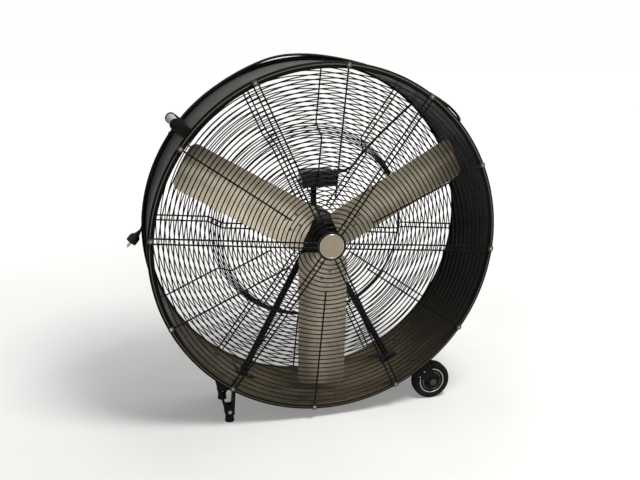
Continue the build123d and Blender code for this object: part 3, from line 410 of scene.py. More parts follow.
def make_finishes(colours):
    """The object's finishes by the name of the material slot that each one is for."""
    black, wire, rubber = colours.black_paint, colours.wire_black, colours.rubber
    bronze, badge, steel, grip = colours.bronze, colours.badge_metal, colours.steel, colours.grip
    satin = scaled(black, 1.9)
    # The two colours, the roughness, the scales of patches and grain, the bump and the rest.
    rows = {
        "guard_wire": (
            wire, scaled(wire, 1.6), (0.2, 0.34), 30, 900, 0.05,
            {"dust": 0.06, "dust_colour": colours.dust, "specular": 0.07},
        ),
        "bronzed_steel": (
            bronze, scaled(bronze, 0.45), (0.35, 0.55), 120, 900, 0.1, {"metallic": 0.75}
        ),
        "black_plate": (black, satin, (0.25, 0.36), 40, 700, 0.08, {"specular": 0.18}),
        "badge": (badge, scaled(badge, 0.9), (0.32, 0.45), 50, 600, 0.05, {"metallic": 0.55}),
        "black_steel": (black, satin, (0.3, 0.46), 22, 500, 0.12, {"dust": 0.1, "specular": 0.06}),
        "rivet_steel": (
            (0.3, 0.29, 0.27), (0.18, 0.17, 0.15), (0.35, 0.5), 90, 900, 0.1, {"metallic": 0.8}
        ),
        "zinc_steel": (
            (0.07, 0.063, 0.05), (0.035, 0.031, 0.024), (0.34, 0.5), 90, 800, 0.12,
            {"metallic": 0.6},
        ),
        "bare_steel": (steel, (0.3, 0.29, 0.28), (0.22, 0.36), 60, 900, 0.08, {"metallic": 1.0}),
        "lamination_steel": (
            (0.2, 0.2, 0.2), (0.12, 0.12, 0.12), (0.4, 0.5), 40, 300, 0.4,
            {"bump_size": 0.0006, "metallic": 0.9, "stretch": (0.05, 9, 0.05)},
        ),
        "motor_paint": (
            (0.01, 0.01, 0.011), (0.02, 0.019, 0.018), (0.42, 0.6), 16, 240, 0.35, {"dust": 0.2}
        ),
        "bearing_steel": (
            steel, (0.34, 0.33, 0.31), (0.16, 0.26), 70, 900, 0.05, {"metallic": 1.0}
        ),
        "copper_wire": (
            (0.38, 0.12, 0.045), (0.25, 0.07, 0.03), (0.25, 0.4), 60, 700, 0.5,
            {"bump_size": 0.0006, "metallic": 0.85, "stretch": (1, 6, 1)},
        ),
        "leg_paint": (black, satin, (0.28, 0.42), 20, 450, 0.1, {"dust": 0.08, "specular": 0.07}),
        # The switch box's heavy dust on upward faces also paints the light on its top.
        "box_plastic": (
            (0.024, 0.024, 0.025), (0.036, 0.035, 0.034), (0.4, 0.55), 30, 900, 0.3, {"dust": 0.35}
        ),
        "switch_plastic": ((0.05, 0.05, 0.052), (0.07, 0.07, 0.07), (0.4, 0.5), 60, 900, 0.2, {}),
        "capacitor_case": ((0.5, 0.49, 0.46), (0.42, 0.41, 0.38), (0.35, 0.45), 50, 700, 0.1, {}),
        "knob_plastic": ([0.016] * 3, [0.026] * 3, (0.3, 0.42), 80, 900, 0.15, {}),
        "gland_plastic": ([0.015] * 3, [0.024] * 3, (0.38, 0.5), 80, 900, 0.2, {}),
        "cord_rubber": (rubber, scaled(rubber, 1.8), (0.5, 0.66), 40, 600, 0.2, {"specular": 0.07}),
        "plug_rubber": (
            rubber, scaled(rubber, 1.7), (0.42, 0.58), 60, 800, 0.25, {"specular": 0.18}
        ),
        "grip_plastic": (grip, scaled(grip, 0.7), (0.4, 0.55), 45, 700, 0.25, {"dust": 0.2}),
        "tyre_rubber": (
            rubber, scaled(rubber, 2.2), (0.55, 0.75), 30, 500, 0.3,
            {"dust": 0.06, "specular": 0.05},
        ),
        "hub_steel": (
            [0.005] * 3, (0.009, 0.008, 0.007), (0.2, 0.32), 50, 700, 0.1, {"specular": 0.15}
        ),
        "foot_rubber": (
            rubber, scaled(rubber, 2.0), (0.6, 0.75), 40, 500, 0.3,
            {"dust": 0.08, "specular": 0.06},
        ),
    }
    made = {"drum_paint": drum_paint(colours), "blade_aluminium": blade_sheet(colours)}
    for slot, (*values, rest) in rows.items():
        made[slot] = finish(slot, *values, **rest)
    return made


FINISHES = {}


def finish_of(slot):
    """The finish for a material slot; they are all made when the first is asked for."""
    if not FINISHES:
        for node in frame["nodes"].values():
            node.data.materials.clear()
        for plain in list(bpy.data.materials):
            bpy.data.materials.remove(plain)
        FINISHES.update(make_finishes(bpy.context.scene.fan_colours))
    return FINISHES[slot]


# ---- Shapes ---------------------------------------------------------------------------------
def linked(name, data):
    """A new object in the scene."""
    thing = bpy.data.objects.new(name, data)
    bpy.context.scene.collection.objects.link(thing)
    return thing


def aim(thing, place, way):
    """Puts a camera or lamp at a place, looking along a way."""
    thing.location = place
    thing.rotation_mode = "QUATERNION"
    thing.rotation_quaternion = Vector(way).to_track_quat("-Z", "Y")


def place_piece(name, mesh, slot, node=None, limit=35, body="frame"):
    """Adds a mesh as a piece on a body, in a node's place if one is given.

    Edges that are sharper than the limit, in degrees, stay sharp and the rest are smooth.
    """
    mesh.name = name
    form = bmesh.new()
    form.from_mesh(mesh)
    bmesh.ops.recalc_face_normals(form, faces=form.faces)
    form.normal_update()
    for face in form.faces:
        face.smooth = True
    for edge in form.edges:
        edge.smooth = len(edge.link_faces) == 2 and edge.calc_face_angle(0) < radians(limit)
    form.to_mesh(mesh)
    form.free()
    mesh.materials.clear()
    mesh.materials.append(finish_of(slot))
    piece = linked(name, mesh)
    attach(piece, body)
    if node:
        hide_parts(node)
    return piece


def rounded(path, radius, steps=4, close=False):
    """A flat path with its corners rounded; radius is one number, or one for each corner."""
    points = [Vector(p) for p in path]
    last = len(points) - 1
    sizes = radius if hasattr(radius, "__len__") else [radius] * len(points)
    made = []
    for index, point in enumerate(points):
        if sizes[index] == 0 or (not close and index in (0, last)):
            made.append(point)
            continue
        back = points[index - 1] - point
        ahead = points[(index + 1) % len(points)] - point
        cut = min(sizes[index], back.length * 0.49, ahead.length * 0.49)
        start, end = point + back.normalized() * cut, point + ahead.normalized() * cut
        for step in range(steps + 1):
            t = step / steps
            made.append(start.lerp(point, t).lerp(point.lerp(end, t), t))
    return made


def mesh_of(form, name, place=Matrix.Identity(4)):
    """A form's mesh, moved to its place."""
    bmesh.ops.transform(form, matrix=place, verts=form.verts)
    mesh = bpy.data.meshes.new(name)
    form.to_mesh(mesh)
    form.free()
    return mesh


def turned(profile, place, segments=96):
    """A closed profile turned about the Y axis of place."""
    form = bmesh.new()
    verts = [form.verts.new((max(radius, 0), depth, 0)) for depth, radius in profile]
    edges = [form.edges.new(pair) for pair in zip(verts, verts[1:] + verts[:1])]
    bmesh.ops.spin(
        form,
        geom=verts + edges,
        axis=(0, 1, 0),
        cent=(0, 0, 0),
        angle=2 * pi,
        steps=segments,
        use_merge=True,
    )
    bmesh.ops.remove_doubles(form, verts=form.verts, dist=1e-6)
    bmesh.ops.dissolve_degenerate(form, edges=form.edges, dist=1e-7)
    return mesh_of(form, "turned", place)


def axis_place(start, direction):
    """Matrix that takes the Y axis from the origin to start along a direction."""
    turn = Vector((0, 1, 0)).rotation_difference(Vector(direction)).to_matrix().to_4x4()
    return Matrix.Translation(start) @ turn


def joined(*meshes):
    """One mesh from several."""
    form = bmesh.new()
    for mesh in meshes:
        form.from_mesh(mesh)
    return mesh_of(form, "joined")


def ease_edges(form, width, flatness, limit):
    """Merges faces that lie flat together and rounds over the edges sharper than the limit."""
    verts, edges = form.verts, form.edges
    bmesh.ops.dissolve_limit(form, angle_limit=radians(flatness), verts=verts, edges=edges)
    shared = [edge for edge in form.edges if len(edge.link_faces) == 2]
    bmesh.ops.bevel(
        form,
        geom=[edge for edge in shared if edge.calc_face_angle(0) > radians(limit)],
        offset=width,
        segments=2,
        profile=0.6,
        affect="EDGES",
        clamp_overlap=True,
    )
    bmesh.ops.triangulate(form, faces=[face for face in form.faces if len(face.verts) > 4])


def softened(name, slot, node, width):
    """Adds a node's own shape with its edges rounded over, as a piece in the node's place."""
    form = bmesh.new()
    form.from_mesh(frame["nodes"][node].data)
    bmesh.ops.remove_doubles(form, verts=form.verts, dist=2e-6)
    ease_edges(form, width, 1.5, 32)
    place_piece(name, mesh_of(form, name), slot, node, 50)


def stack(form, rings):
    """Joins rings of places, each with as many corners, into a closed solid."""
    rows = [[form.verts.new(corner) for corner in ring] for ring in rings]
    corners = len(rows[0])
    for low, high in zip(rows, rows[1:]):
        for i in range(corners):
            form.faces.new((low[i], low[(i + 1) % corners], high[(i + 1) % corners], high[i]))
    form.faces.new(rows[0][::-1])
    form.faces.new(rows[-1])


def hexagon(across, height, place, chamfer=0.12):
    """Six-sided head along the Y axis of place, with its corners turned down at the far end."""
    form = bmesh.new()
    turns = [i * pi / 3 for i in range(6)]
    steps = ((0, across), (height * (1 - chamfer * 2), across), (height, across * (1 - chamfer)))
    stack(form, [[(size * cos(t), depth, size * sin(t)) for t in turns] for depth, size in steps])
    return mesh_of(form, "hexagon", place)


def plate(outline, window, near, far, place=FAN_PLACE, edge=0.0005):
    """A flat plate between two depths, with an outline of (across, height) and a window or none."""
    loops = [outline] + ([window] if window else [])
    flat = [[Vector((x, y, 0)) for x, y in loop] for loop in loops]
    corners = [point for loop in flat for point in loop]
    form = bmesh.new()
    sides = [[form.verts.new((v.x, depth, v.y)) for v in corners] for depth in (near, far)]
    for side in sides:
        for a, b, c in tessellate_polygon(flat):
            form.faces.new((side[a], side[b], side[c]))
    start = 0
    for loop in loops:
        for i in range(len(loop)):
            a, b = start + i, start + (i + 1) % len(loop)
            form.faces.new((sides[0][a], sides[0][b], sides[1][b], sides[1][a]))
        start += len(loop)
    bmesh.ops.recalc_face_normals(form, faces=form.faces)
    ease_edges(form, edge, 1, 50)
    return mesh_of(form, "plate", place)


# ---- Geometry Nodes -------------------------------------------------------------------------
RING_SIDES, SPOKE_SIDES = 7, 10


def node_group(name, sockets):
    """An empty geometry group with a geometry going in and out and the given inputs."""
    group = bpy.data.node_groups.new(name, "GeometryNodeTree")
    for way in ("OUTPUT", "INPUT"):
        group.interface.new_socket("Geometry", in_out=way, socket_type="NodeSocketGeometry")
    for label, kind in sockets.items():
        group.interface.new_socket(label, in_out="INPUT", socket_type="NodeSocket" + kind)
    nodes = Nodes(group)
    return group, nodes, nodes.add("NodeGroupInput").outputs


def end_group(nodes, geometry, material):
    """Realizes what a group made, sets its material and hands it out."""
    real = nodes.out("GeometryNodeRealizeInstances", "Geometry", {"Geometry": geometry})
    inputs = {"Geometry": real, "Material": material}
    coated = nodes.out("GeometryNodeSetMaterial", "Geometry", inputs)
    nodes.add("NodeGroupOutput", {"Geometry": coated})


def wire_round(nodes, curve, radius, sides, caps):
    """Wire with a round section along a curve."""
    inputs = {"Resolution": sides, "Radius": radius}
    section = nodes.out("GeometryNodeCurvePrimitiveCircle", "Curve", inputs)
    inputs = {"Curve": curve, "Profile Curve": section, "Fill Caps": caps}
    return nodes.out("GeometryNodeCurveToMesh", "Mesh", inputs)


def ring_group():
    """Rings of wire about the Y axis, evenly spaced along a profile of (radius, depth) points."""
    sockets = {"Pitch": "Float", "Wire Radius": "Float", "Segments": "Int", "Material": "Material"}
    group, nodes, given = node_group("guard_rings", sockets)
    line = nodes.out("GeometryNodeMeshToCurve", "Curve", {"Mesh": given["Geometry"]})
    inputs = {"Curve": line, "Length": given["Pitch"]}
    stops = nodes.out("GeometryNodeResampleCurve", "Curve", inputs, mode="LENGTH")
    position = nodes.out("GeometryNodeInputPosition", "Position")
    where = nodes.add("ShaderNodeSeparateXYZ", {"Vector": position}).outputs
    inputs = {"Geometry": stops, "Name": "ring_radius", "Value": where["X"]}
    kept = nodes.out(
        "GeometryNodeStoreNamedAttribute", "Geometry", inputs, data_type="FLOAT", domain="POINT"
    )
    on_axis = nodes.out("ShaderNodeCombineXYZ", "Vector", {"Y": where["Y"]})
    inputs = {"Geometry": kept, "Position": on_axis}
    moved = nodes.out("GeometryNodeSetPosition", "Geometry", inputs)
    inputs = {"Resolution": given["Segments"], "Radius": 1.0}
    circle = nodes.out("GeometryNodeCurvePrimitiveCircle", "Curve", inputs)
    inputs = {"Geometry": circle, "Rotation": (pi / 2, 0, 0)}
    upright = nodes.out("GeometryNodeTransform", "Geometry", inputs)
    inputs = {"Name": "ring_radius"}
    radius = nodes.out("GeometryNodeInputNamedAttribute", "Attribute", inputs, data_type="FLOAT")
    size = nodes.out("ShaderNodeCombineXYZ", "Vector", {"X": radius, "Y": 1.0, "Z": radius})
    inputs = {"Points": moved, "Instance": upright, "Scale": size}
    rings = nodes.out("GeometryNodeInstanceOnPoints", "Instances", inputs)
    real = nodes.out("GeometryNodeRealizeInstances", "Geometry", {"Geometry": rings})
    wires = wire_round(nodes, real, given["Wire Radius"], RING_SIDES, False)
    end_group(nodes, wires, given["Material"])
    return group


def turns_group(name, wire):
    """Copies of a shape turned about the Y axis; wire lines are first given a round section."""
    sockets = {"Count": "Int", "Step": "Float", "Phase": "Float", "Material": "Material"}
    if wire:
        sockets["Wire Radius"] = "Float"
    group, nodes, given = node_group(name, sockets)
    shape = given["Geometry"]
    if wire:
        line = nodes.out("GeometryNodeMeshToCurve", "Curve", {"Mesh": shape})
        shape = wire_round(nodes, line, given["Wire Radius"], SPOKE_SIDES, True)
    inputs = {"Count": given["Count"], "Offset": (0, 0, 0)}
    points = nodes.out("GeometryNodeMeshLine", "Mesh", inputs)
    index = nodes.out("GeometryNodeInputIndex", "Index")
    turn = nodes.math("MULTIPLY_ADD", index, given["Step"], given["Phase"])
    back = nodes.product(turn, -1.0)
    rotation = nodes.out("ShaderNodeCombineXYZ", "Vector", {"Y": back})
    inputs = {"Points": points, "Instance": shape, "Rotation": rotation}
    copies = nodes.out("GeometryNodeInstanceOnPoints", "Instances", inputs)
    end_group(nodes, copies, given["Material"])
    return group


def run_group(mesh, group, values):
    """The mesh that a geometry group makes of another, moved to the fan's place."""
    maker = linked("maker", mesh)
    modifier = maker.modifiers.new("maker", "NODES")
    modifier.node_group = group
    for item in group.interface.items_tree:
        if item.in_out == "INPUT" and item.name in values:
            modifier[item.identifier] = values[item.name]
    bpy.context.view_layer.update()
    depsgraph = bpy.context.evaluated_depsgraph_get()
    result = bpy.data.meshes.new_from_object(maker.evaluated_get(depsgraph), depsgraph=depsgraph)
    maker.modifiers.clear()
    bpy.data.objects.remove(maker)
    result.transform(FAN_PLACE)
    if "ring_radius" in result.attributes:
        result.attributes.remove(result.attributes["ring_radius"])
    return result


def wire_paths(*paths):
    """A mesh of lines through points."""
    verts, edges = [], []
    for path in paths:
        edges += [(len(verts) + i, len(verts) + i + 1) for i in range(len(path) - 1)]
        verts += path
    mesh = bpy.data.meshes.new("paths")
    mesh.from_pydata(verts, edges, [])
    return mesh


# ---- Camera, floor and light ----------------------------------------------------------------
LENS, SENSOR_WIDTH = 45.4, 36
CAMERA_PLACE, CAMERA_WAY = (-0.654, -2.4157, 1.279), (0.253, 0.927, -0.276)
FLOOR_REACH = 14
AMBIENT, SEEN = 0.25, 1.0
LAMPS = (
    # The name, the place, the place it is aimed at, the width and the power in watts.
    ("key_light", (0.8, -1.35, 3.4), (0, 0, 0.55), 1.1, 150),
    ("fill_light", (-2.6, -2.4, 1.8), (0, 0, 0.5), 2.4, 6),
    ("top_light", (0.3, 0.8, 3.2), (0, 0, 0.5), 2.0, 24),
)


def seen_rays(nodes):
    """1 on rays that show the backdrop, straight or by a reflection, and 0 on those that light."""
    path = nodes.add("ShaderNodeLightPath").outputs
    either = nodes.math("MAXIMUM", path["Is Camera Ray"], path["Is Glossy Ray"])
    return nodes.math("MAXIMUM", either, path["Is Transmission Ray"])


def pale_floor():
    """A pale matt floor that fades to the backdrop's white away from the object."""
    stone = (0.50, 0.49, 0.475), (0.54, 0.53, 0.515)
    material = finish("floor", *stone, (0.75, 0.85), 1.5, 60, 0.05, 0.0005, specular=0.1)
    nodes = Nodes(material.node_tree)
    shader = material.node_tree.nodes["Principled BSDF"]
    output = material.node_tree.nodes["Material Output"]
    away = nodes.vector("LENGTH", "Value", nodes.out("ShaderNodeTexCoord", "Object"))
    glow = spread_between(nodes, away, 0.24, 0.86, 0.6, 3.2)
    strength = nodes.product(seen_rays(nodes), glow)
    inputs = {"Color": (1, 0.99, 0.97, 1), "Strength": strength}
    shine = nodes.out("ShaderNodeEmission", "Emission", inputs)
    both = nodes.out("ShaderNodeAddShader", "Shader", {0: shader.outputs["BSDF"], 1: shine})
    material.node_tree.links.new(both, output.inputs["Surface"])
    return material


class FAN_OT_stage(bpy.types.Operator):
    """Adds the camera, the pale floor and the studio light"""

    bl_idname = "fan.stage"
    bl_label = "Stage"

    def execute(self, context):
        scene = context.scene
        # Making the finishes clears all materials, so it comes before the floor's.
        finish_of("drum_paint")
        scene.camera = linked("camera", bpy.data.cameras.new("camera"))
        scene.camera.data.lens = LENS
        scene.camera.data.sensor_width = SENSOR_WIDTH
        aim(scene.camera, CAMERA_PLACE, CAMERA_WAY)

        floor_mesh = bpy.data.meshes.new("floor")
        square = (-1, -1), (1, -1), (1, 1), (-1, 1)
        corners = [(x * FLOOR_REACH, y * FLOOR_REACH, 0) for x, y in square]
        floor_mesh.from_pydata(corners, [], [(0, 1, 2, 3)])
        floor = linked("floor", floor_mesh)
        floor_mesh.materials.append(pale_floor())

        world = bpy.data.worlds.new("studio")
        scene.world = world
        world.use_nodes = True
        nodes = Nodes(world.node_tree)
        ambient = world.node_tree.nodes["Background"]
        ambient.inputs["Color"].default_value = (0.93, 0.95, 1, 1)
        ambient.inputs["Strength"].default_value = AMBIENT
        inputs = {"Color": (1, 0.995, 0.985, 1), "Strength": SEEN}
        seen = nodes.out("ShaderNodeBackground", "Background", inputs)
        inputs = {0: seen_rays(nodes), 1: ambient.outputs[0], 2: seen}
        mix = nodes.out("ShaderNodeMixShader", "Shader", inputs)
        world.node_tree.links.new(mix, world.node_tree.nodes["World Output"].inputs["Surface"])

        for name, place, target, width, power in LAMPS:
            lamp = linked(name, bpy.data.lights.new(name, "AREA"))
            lamp.data.size = width
            lamp.data.energy = power
            aim(lamp, place, Vector(target) - Vector(place))
        scene.view_settings.view_transform = "Standard"
        return {"FINISHED"}


# ---- Cord -----------------------------------------------------------------------------------
PLUG_LENGTH = 0.046
BOX_EXIT = (0.098, 0.262, 0.175)
# From the switch box over the rear rim, round the loose bulge and along the drum to the plug.
CORD_ROUTE = [
    at(*BOX_EXIT),
    at(0.142, 0.262, 0.175),
    at(0.186, 0.298, 0.214),
    at(0.262, 0.309, 0.286),
    at(0.348, 0.308, 0.362),
    on_drum(45.5, 0.560, 0.308),
    on_drum(44.2, 0.590, 0.273),
    on_drum(41.9, 0.584, 0.215),
    on_drum(38.7, 0.576, 0.155),
    on_drum(37.1, 0.572, 0.100),
    on_drum(39.7, 0.570, 0.062),
    on_drum(44.6, 0.567, 0.052),
    on_drum(48.9, 0.564, 0.075),
    on_drum(51.2, 0.566, 0.125),
    on_drum(55.0, 0.561, 0.180),
    on_drum(61.5, 0.557, 0.225),
    on_drum(70.5, 0.554, 0.252),
    on_drum(81.0, 0.552, 0.264),
    on_drum(91.0, 0.557, 0.262),
    on_drum(101.0, 0.563, 0.263),
    on_drum(111.5, 0.556, 0.258),
    on_drum(123.0, 0.553, 0.254),
    on_drum(134.5, 0.552, 0.257),
    on_drum(146.0, 0.553, 0.254),
    on_drum(157.5, 0.552, 0.250),
    on_drum(165.0, 0.550, 0.252),
    on_drum(171.5, 0.548, 0.250),
    at(-0.5445, 0.250, 0.031),
    at(-0.5555, 0.250, 0.0185),
]


def relief_profile(r, reach, ribs=7):
    """Tapered sleeve with ribs, from the switch box along a cord of radius r."""
    sleeve = [(0, r), (0, r + 0.0035)]
    step = (reach - 0.006) / ribs
    for rib in range(ribs):
        start, outer = 0.004 + step * rib, r + 0.0033 - 0.0019 * rib / ribs
        sleeve += [(start, outer), (start + step * 0.55, outer - 0.0002)]
        sleeve += [(start + step * 0.62, outer - 0.0011), (start + step * 0.95, outer - 0.0011)]
    return sleeve + [(reach, r + 0.0009), (reach, r)]


def plug_profile(r, body, ribs=4):
    """Plug's body with ribs on its neck, from the end of a cord of radius r."""
    outline = [(0, 0), (0, r + 0.0012)]
    for rib in range(ribs):
        start, outer = 0.001 + 0.0038 * rib, r + 0.0014 + 0.0011 * rib
        outline += [(start, outer), (start + 0.0022, outer + 0.0002)]
        outline += [(start + 0.0025, outer - 0.0010), (start + 0.0036, outer - 0.0010)]
    outline += [(0.0165, body * 0.62), (0.020, body * 0.86), (0.027, body * 0.985), (0.029, body)]
    outline += [(PLUG_LENGTH - 0.0015, body), (PLUG_LENGTH, body - 0.0015), (PLUG_LENGTH, 0)]
    return outline


class FAN_OT_cord(bpy.types.Operator):
    """Adds the mains cord, its tapered sleeve at the switch box and its plug"""

    bl_idname = "fan.cord"
    bl_label = "Cord and Plug"

    def execute(self, context):
        sizes = context.scene.fan_cord
        r = sizes.cord_radius
        curve = bpy.data.curves.new("mains_cord", "CURVE")
        curve.dimensions = "3D"
        curve.bevel_depth = r
        curve.bevel_resolution = 4
        curve.resolution_u = 10
        spline = curve.splines.new("NURBS")
        spline.points.add(len(CORD_ROUTE) - 1)
        for point, place in zip(spline.points, CORD_ROUTE):
            point.co = (*place, 1)
        spline.order_u = 3
        spline.use_endpoint_u = True
        curve.materials.append(finish_of("cord_rubber"))
        cord = linked("mains_cord", curve)
        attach(cord, "frame")
        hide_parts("cord")

        start = axis_place(CORD_ROUTE[0], (1, 0, 0))
        sleeve = turned(relief_profile(r, sizes.relief_length), start, 32)
        relief = place_piece("cord_relief", sleeve, "gland_plastic", limit=50)

        end = CORD_ROUTE[-1]
        way = (end - CORD_ROUTE[-2]).normalized()
        body = turned(plug_profile(r, sizes.plug_radius), axis_place(end, way), 48)
        plug = place_piece("mains_plug", body, "plug_rubber", "plug", 45)
        pin = [(0, 0), (0, sizes.pin_radius), (0.0008, sizes.pin_radius)]
        pin += [(0.017, 0.0023), (0.0188, 0.0016), (0.0194, 0)]
        pins = []
        for side in (-1, 1):
            foot = end + way * (PLUG_LENGTH - 0.0005)
            foot += Vector((0, side * sizes.pin_spacing / 2, 0))
            pins.append(turned(pin, axis_place(foot, way), 20))
        pin_piece = place_piece("plug_pins", joined(*pins), "bare_steel", limit=45)
        return {"FINISHED"}


# ---- Guards ---------------------------------------------------------------------------------
RING_SEGMENTS = 144


def wire_guard(g, name, spoke_line, ring_line, pair_end, single_end, node):
    """Adds a guard whose spokes and rings follow lines of (radius, depth) points."""
    half_step = pi / g.pairs
    level = spoke_line[0][1]

    def spoke(start, end, sideways, turn):
        kept = [p for p in spoke_line if end < p[0] < start]
        path = [(start, level), *kept, (end, kept[-1][1])]
        return [
            (r * cos(turn) - sideways * sin(turn), d, r * sin(turn) + sideways * cos(turn))
            for r, d in path
        ]

    spokes = [spoke(g.spoke_end, pair_end, side * g.pair_gap / 2, 0) for side in (1, -1)]
    single_start = g.clip_radius - 0.004
    spokes.append(spoke(single_start, single_end, 0, half_step))
    x, z, eye = g.clip_radius * cos(half_step), g.clip_radius * sin(half_step), g.eye_radius
    turns = [i * pi / 10 for i in range(21)]
    spokes.append([(x + eye * cos(t), level, z + eye * sin(t)) for t in turns])

    coat = finish_of("guard_wire")
    values = {"Count": g.pairs, "Step": 2 * half_step, "Phase": g.phase}
    values.update({"Wire Radius": g.spoke_wire, "Material": coat})
    spoke_mesh = run_group(wire_paths(*spokes), turns_group("guard_spokes", wire=True), values)
    values = {"Pitch": g.ring_pitch, "Wire Radius": g.ring_wire, "Segments": RING_SEGMENTS}
    values["Material"] = coat
    ring_mesh = run_group(wire_paths([(r, d, 0) for r, d in ring_line]), ring_group(), values)
    place_piece(name + "_rings", ring_mesh, "guard_wire", limit=80)
    place_piece(name, spoke_mesh, "guard_wire", node, 60)


class FAN_OT_guards(bpy.types.Operator):
    """Adds the front and rear wire guards with all their rings and spokes"""

    bl_idname = "fan.guards"
    bl_label = "Wire Guards"

    def execute(self, context):
        g = context.scene.fan_guards
        start, inner, bend = 0.56, 0.02, 0.010

        level = -g.spoke_wire
        crown = level - g.crown
        spokes = [(start, level), (g.edge_radius + 0.001, level)]
        spokes += [(g.edge_radius - 0.02, level - 0.0004), (g.flat_radius, crown), (inner, crown)]
        rings = [(g.edge_radius, level - g.ring_rise), (g.flat_radius, crown - g.ring_rise)]
        rings.append((g.front_hole, crown - g.ring_rise))
        ends = g.front_pair_end, g.front_single_end
        wire_guard(g, "front_wire_guard", spokes, rings, *ends, "front_guard")

        level = DRUM_DEPTH + g.spoke_wire
        floor = level - g.recess_depth
        mouth, set_in = g.recess_mouth, g.recess_floor
        spokes = rounded([(start, level), (mouth, level), (set_in, floor), (inner, floor)], bend)
        level, floor = level + g.ring_rise, floor + g.ring_rise
        rings = [(g.edge_radius, level), (mouth - 0.0015, level)]
        rings = rounded([*rings, (set_in - 0.0015, floor), (g.rear_hole, floor)], bend)
        ends = g.rear_hole, g.rear_single_end
        wire_guard(g, "rear_wire_guard", spokes, rings, *ends, "rear_guard")
        return {"FINISHED"}


class FAN_OT_guard_screws(bpy.types.Operator):
    """Adds the screws and the bronzed washers that hold the guards on the drum"""

    bl_idname = "fan.guard_screws"
    bl_label = "Guard Screws"

    def execute(self, context):
        g = context.scene.fan_guards
        turns = turns_group("guard_screws", wire=False)
        bore, thick = 0.0027, 0.0012
        washer = [(0, bore), (0, 0.009), (thick, 0.009), (0.0014, 0.0048), (0.0014, bore)]
        washer = rounded(washer, 0.0004, 2)
        flange = [(thick, 0), (thick, 0.0056), (0.0018, 0.0054), (0.002, 0.0046), (0.002, 0)]
        shank = [(0, 0), (0, 0.0025), (0.0165, 0.0025), (0.0175, 0.0015), (0.0175, 0)]
        for end, face, side in (("front", 0, -1), ("rear", DRUM_DEPTH, 1)):
            out = Vector((0, side, 0))
            seat = Vector((g.clip_radius, face + side * 2 * g.spoke_wire, 0))
            parts = joined(
                turned(washer, axis_place(seat, out), 28),
                turned(flange, axis_place(seat, out), 28),
                turned(shank, axis_place(seat + out * thick, -out), 16),
            )
            head = hexagon(0.0048, 0.0024, axis_place(seat + out * 0.0018, out))
            for name, mesh, slot, node in (
                (f"{end}_guard_screw_set", parts, "bronzed_steel", f"{end}_guard_screws"),
                (f"{end}_guard_screw_heads", head, "rivet_steel", None),
            ):
                values = {"Count": 2 * g.pairs, "Step": pi / g.pairs, "Phase": g.phase}
                values["Material"] = finish_of(slot)
                place_piece(name, run_group(mesh, turns, values), slot, node, 40)
        return {"FINISHED"}


class FAN_OT_badge(bpy.types.Operator):
    """Adds the dished plate in the middle of the front guard and its blank disc"""

    bl_idname = "fan.badge"
    bl_label = "Centre Plate"

    def execute(self, context):
        low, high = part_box("guard_centre_plate")
        back, front = high.y - RIM_FACE, low.y - RIM_FACE
        sheet, bottom = 0.0016, back - 0.0012
        radius = (high.z - low.z) / 2 + sheet
        dish = [(back, 0), (back, radius), (front, radius), (front, radius - sheet)]
        dish += [(bottom, radius - 2 * sheet), (bottom, 0)]
        dish = rounded(dish, [0, 0.0006, 0.0008, 0.0008, 0.001, 0], 3)
        place_piece("centre_dish", turned(dish, FAN_PLACE), "black_plate", "guard_centre_plate")

        low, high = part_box("centre_badge")
        back, front = high.y - RIM_FACE, low.y - RIM_FACE
        radius = (high.z - low.z) / 2
        disc = [(back, 0), (back, radius - 0.0014), (front + 0.0008, radius - 0.0014)]
        disc += [(front + 0.0007, radius - 0.0032), (front + 0.0009, radius - 0.0042)]
        crown = 0.0009
        for step in range(10, -1, -1):
            share = step / 10
            disc.append((front + crown - crown * (1 - share**2), (radius - 0.006) * share))
        place_piece("blank_badge", turned(disc, FAN_PLACE), "badge", "centre_badge", 30)
        bead = [(back, radius - 0.0018), (back, radius + 0.0008), (front + 0.0004, radius + 0.0008)]
        bead += [(front - 0.0002, radius), (front - 0.0001, radius - 0.0012)]
        bead.append((front + 0.0008, radius - 0.0018))
        bead = rounded(bead, [0, 0, 0.0004, 0.0004, 0.0004, 0], 3, close=True)
        place_piece("badge_bead", turned(bead, FAN_PLACE), "bare_steel", limit=40)
        return {"FINISHED"}


# ---- Drum, wheels and handle ----------------------------------------------------------------
class FAN_OT_drum(bpy.types.Operator):
    """Adds the rolled steel drum with its rounded rims"""

    bl_idname = "fan.drum"
    bl_label = "Drum"

    def execute(self, context):
        far, sheet, lip = DRUM_DEPTH, DRUM_SHEET, 0.014
        rim, shell = RIM_RADIUS, SHELL_RADIUS
        front_mouth, rear_mouth = 0.530, 0.528
        # Each corner of the drum's section, with its rounding.
        outline = [
            ((0, front_mouth), 0.0012),
            ((0, rim), 0.0045),
            ((lip, rim), 0.001),
            ((lip, rim - sheet), 0.001),
            ((sheet, rim - sheet), 0.002),
            ((sheet, shell), 0.001),
            ((far - sheet, shell), 0.001),
            ((far - sheet, rim - sheet), 0.002),
            ((far - lip, rim - sheet), 0.001),
            ((far - lip, rim), 0.001),
            ((far, rim), 0.0045),
            ((far, rear_mouth), 0.0012),
            ((far - sheet, rear_mouth), 0.0012),
            ((far - sheet, shell - sheet), 0.001),
            ((sheet, shell - sheet), 0.001),
            ((sheet, front_mouth), 0.0012),
        ]
        path = rounded([p for p, _ in outline], [r for _, r in outline], 3, close=True)
        place_piece("drum", turned(path, FAN_PLACE, 240), "drum_paint", "drum_shell")
        return {"FINISHED"}


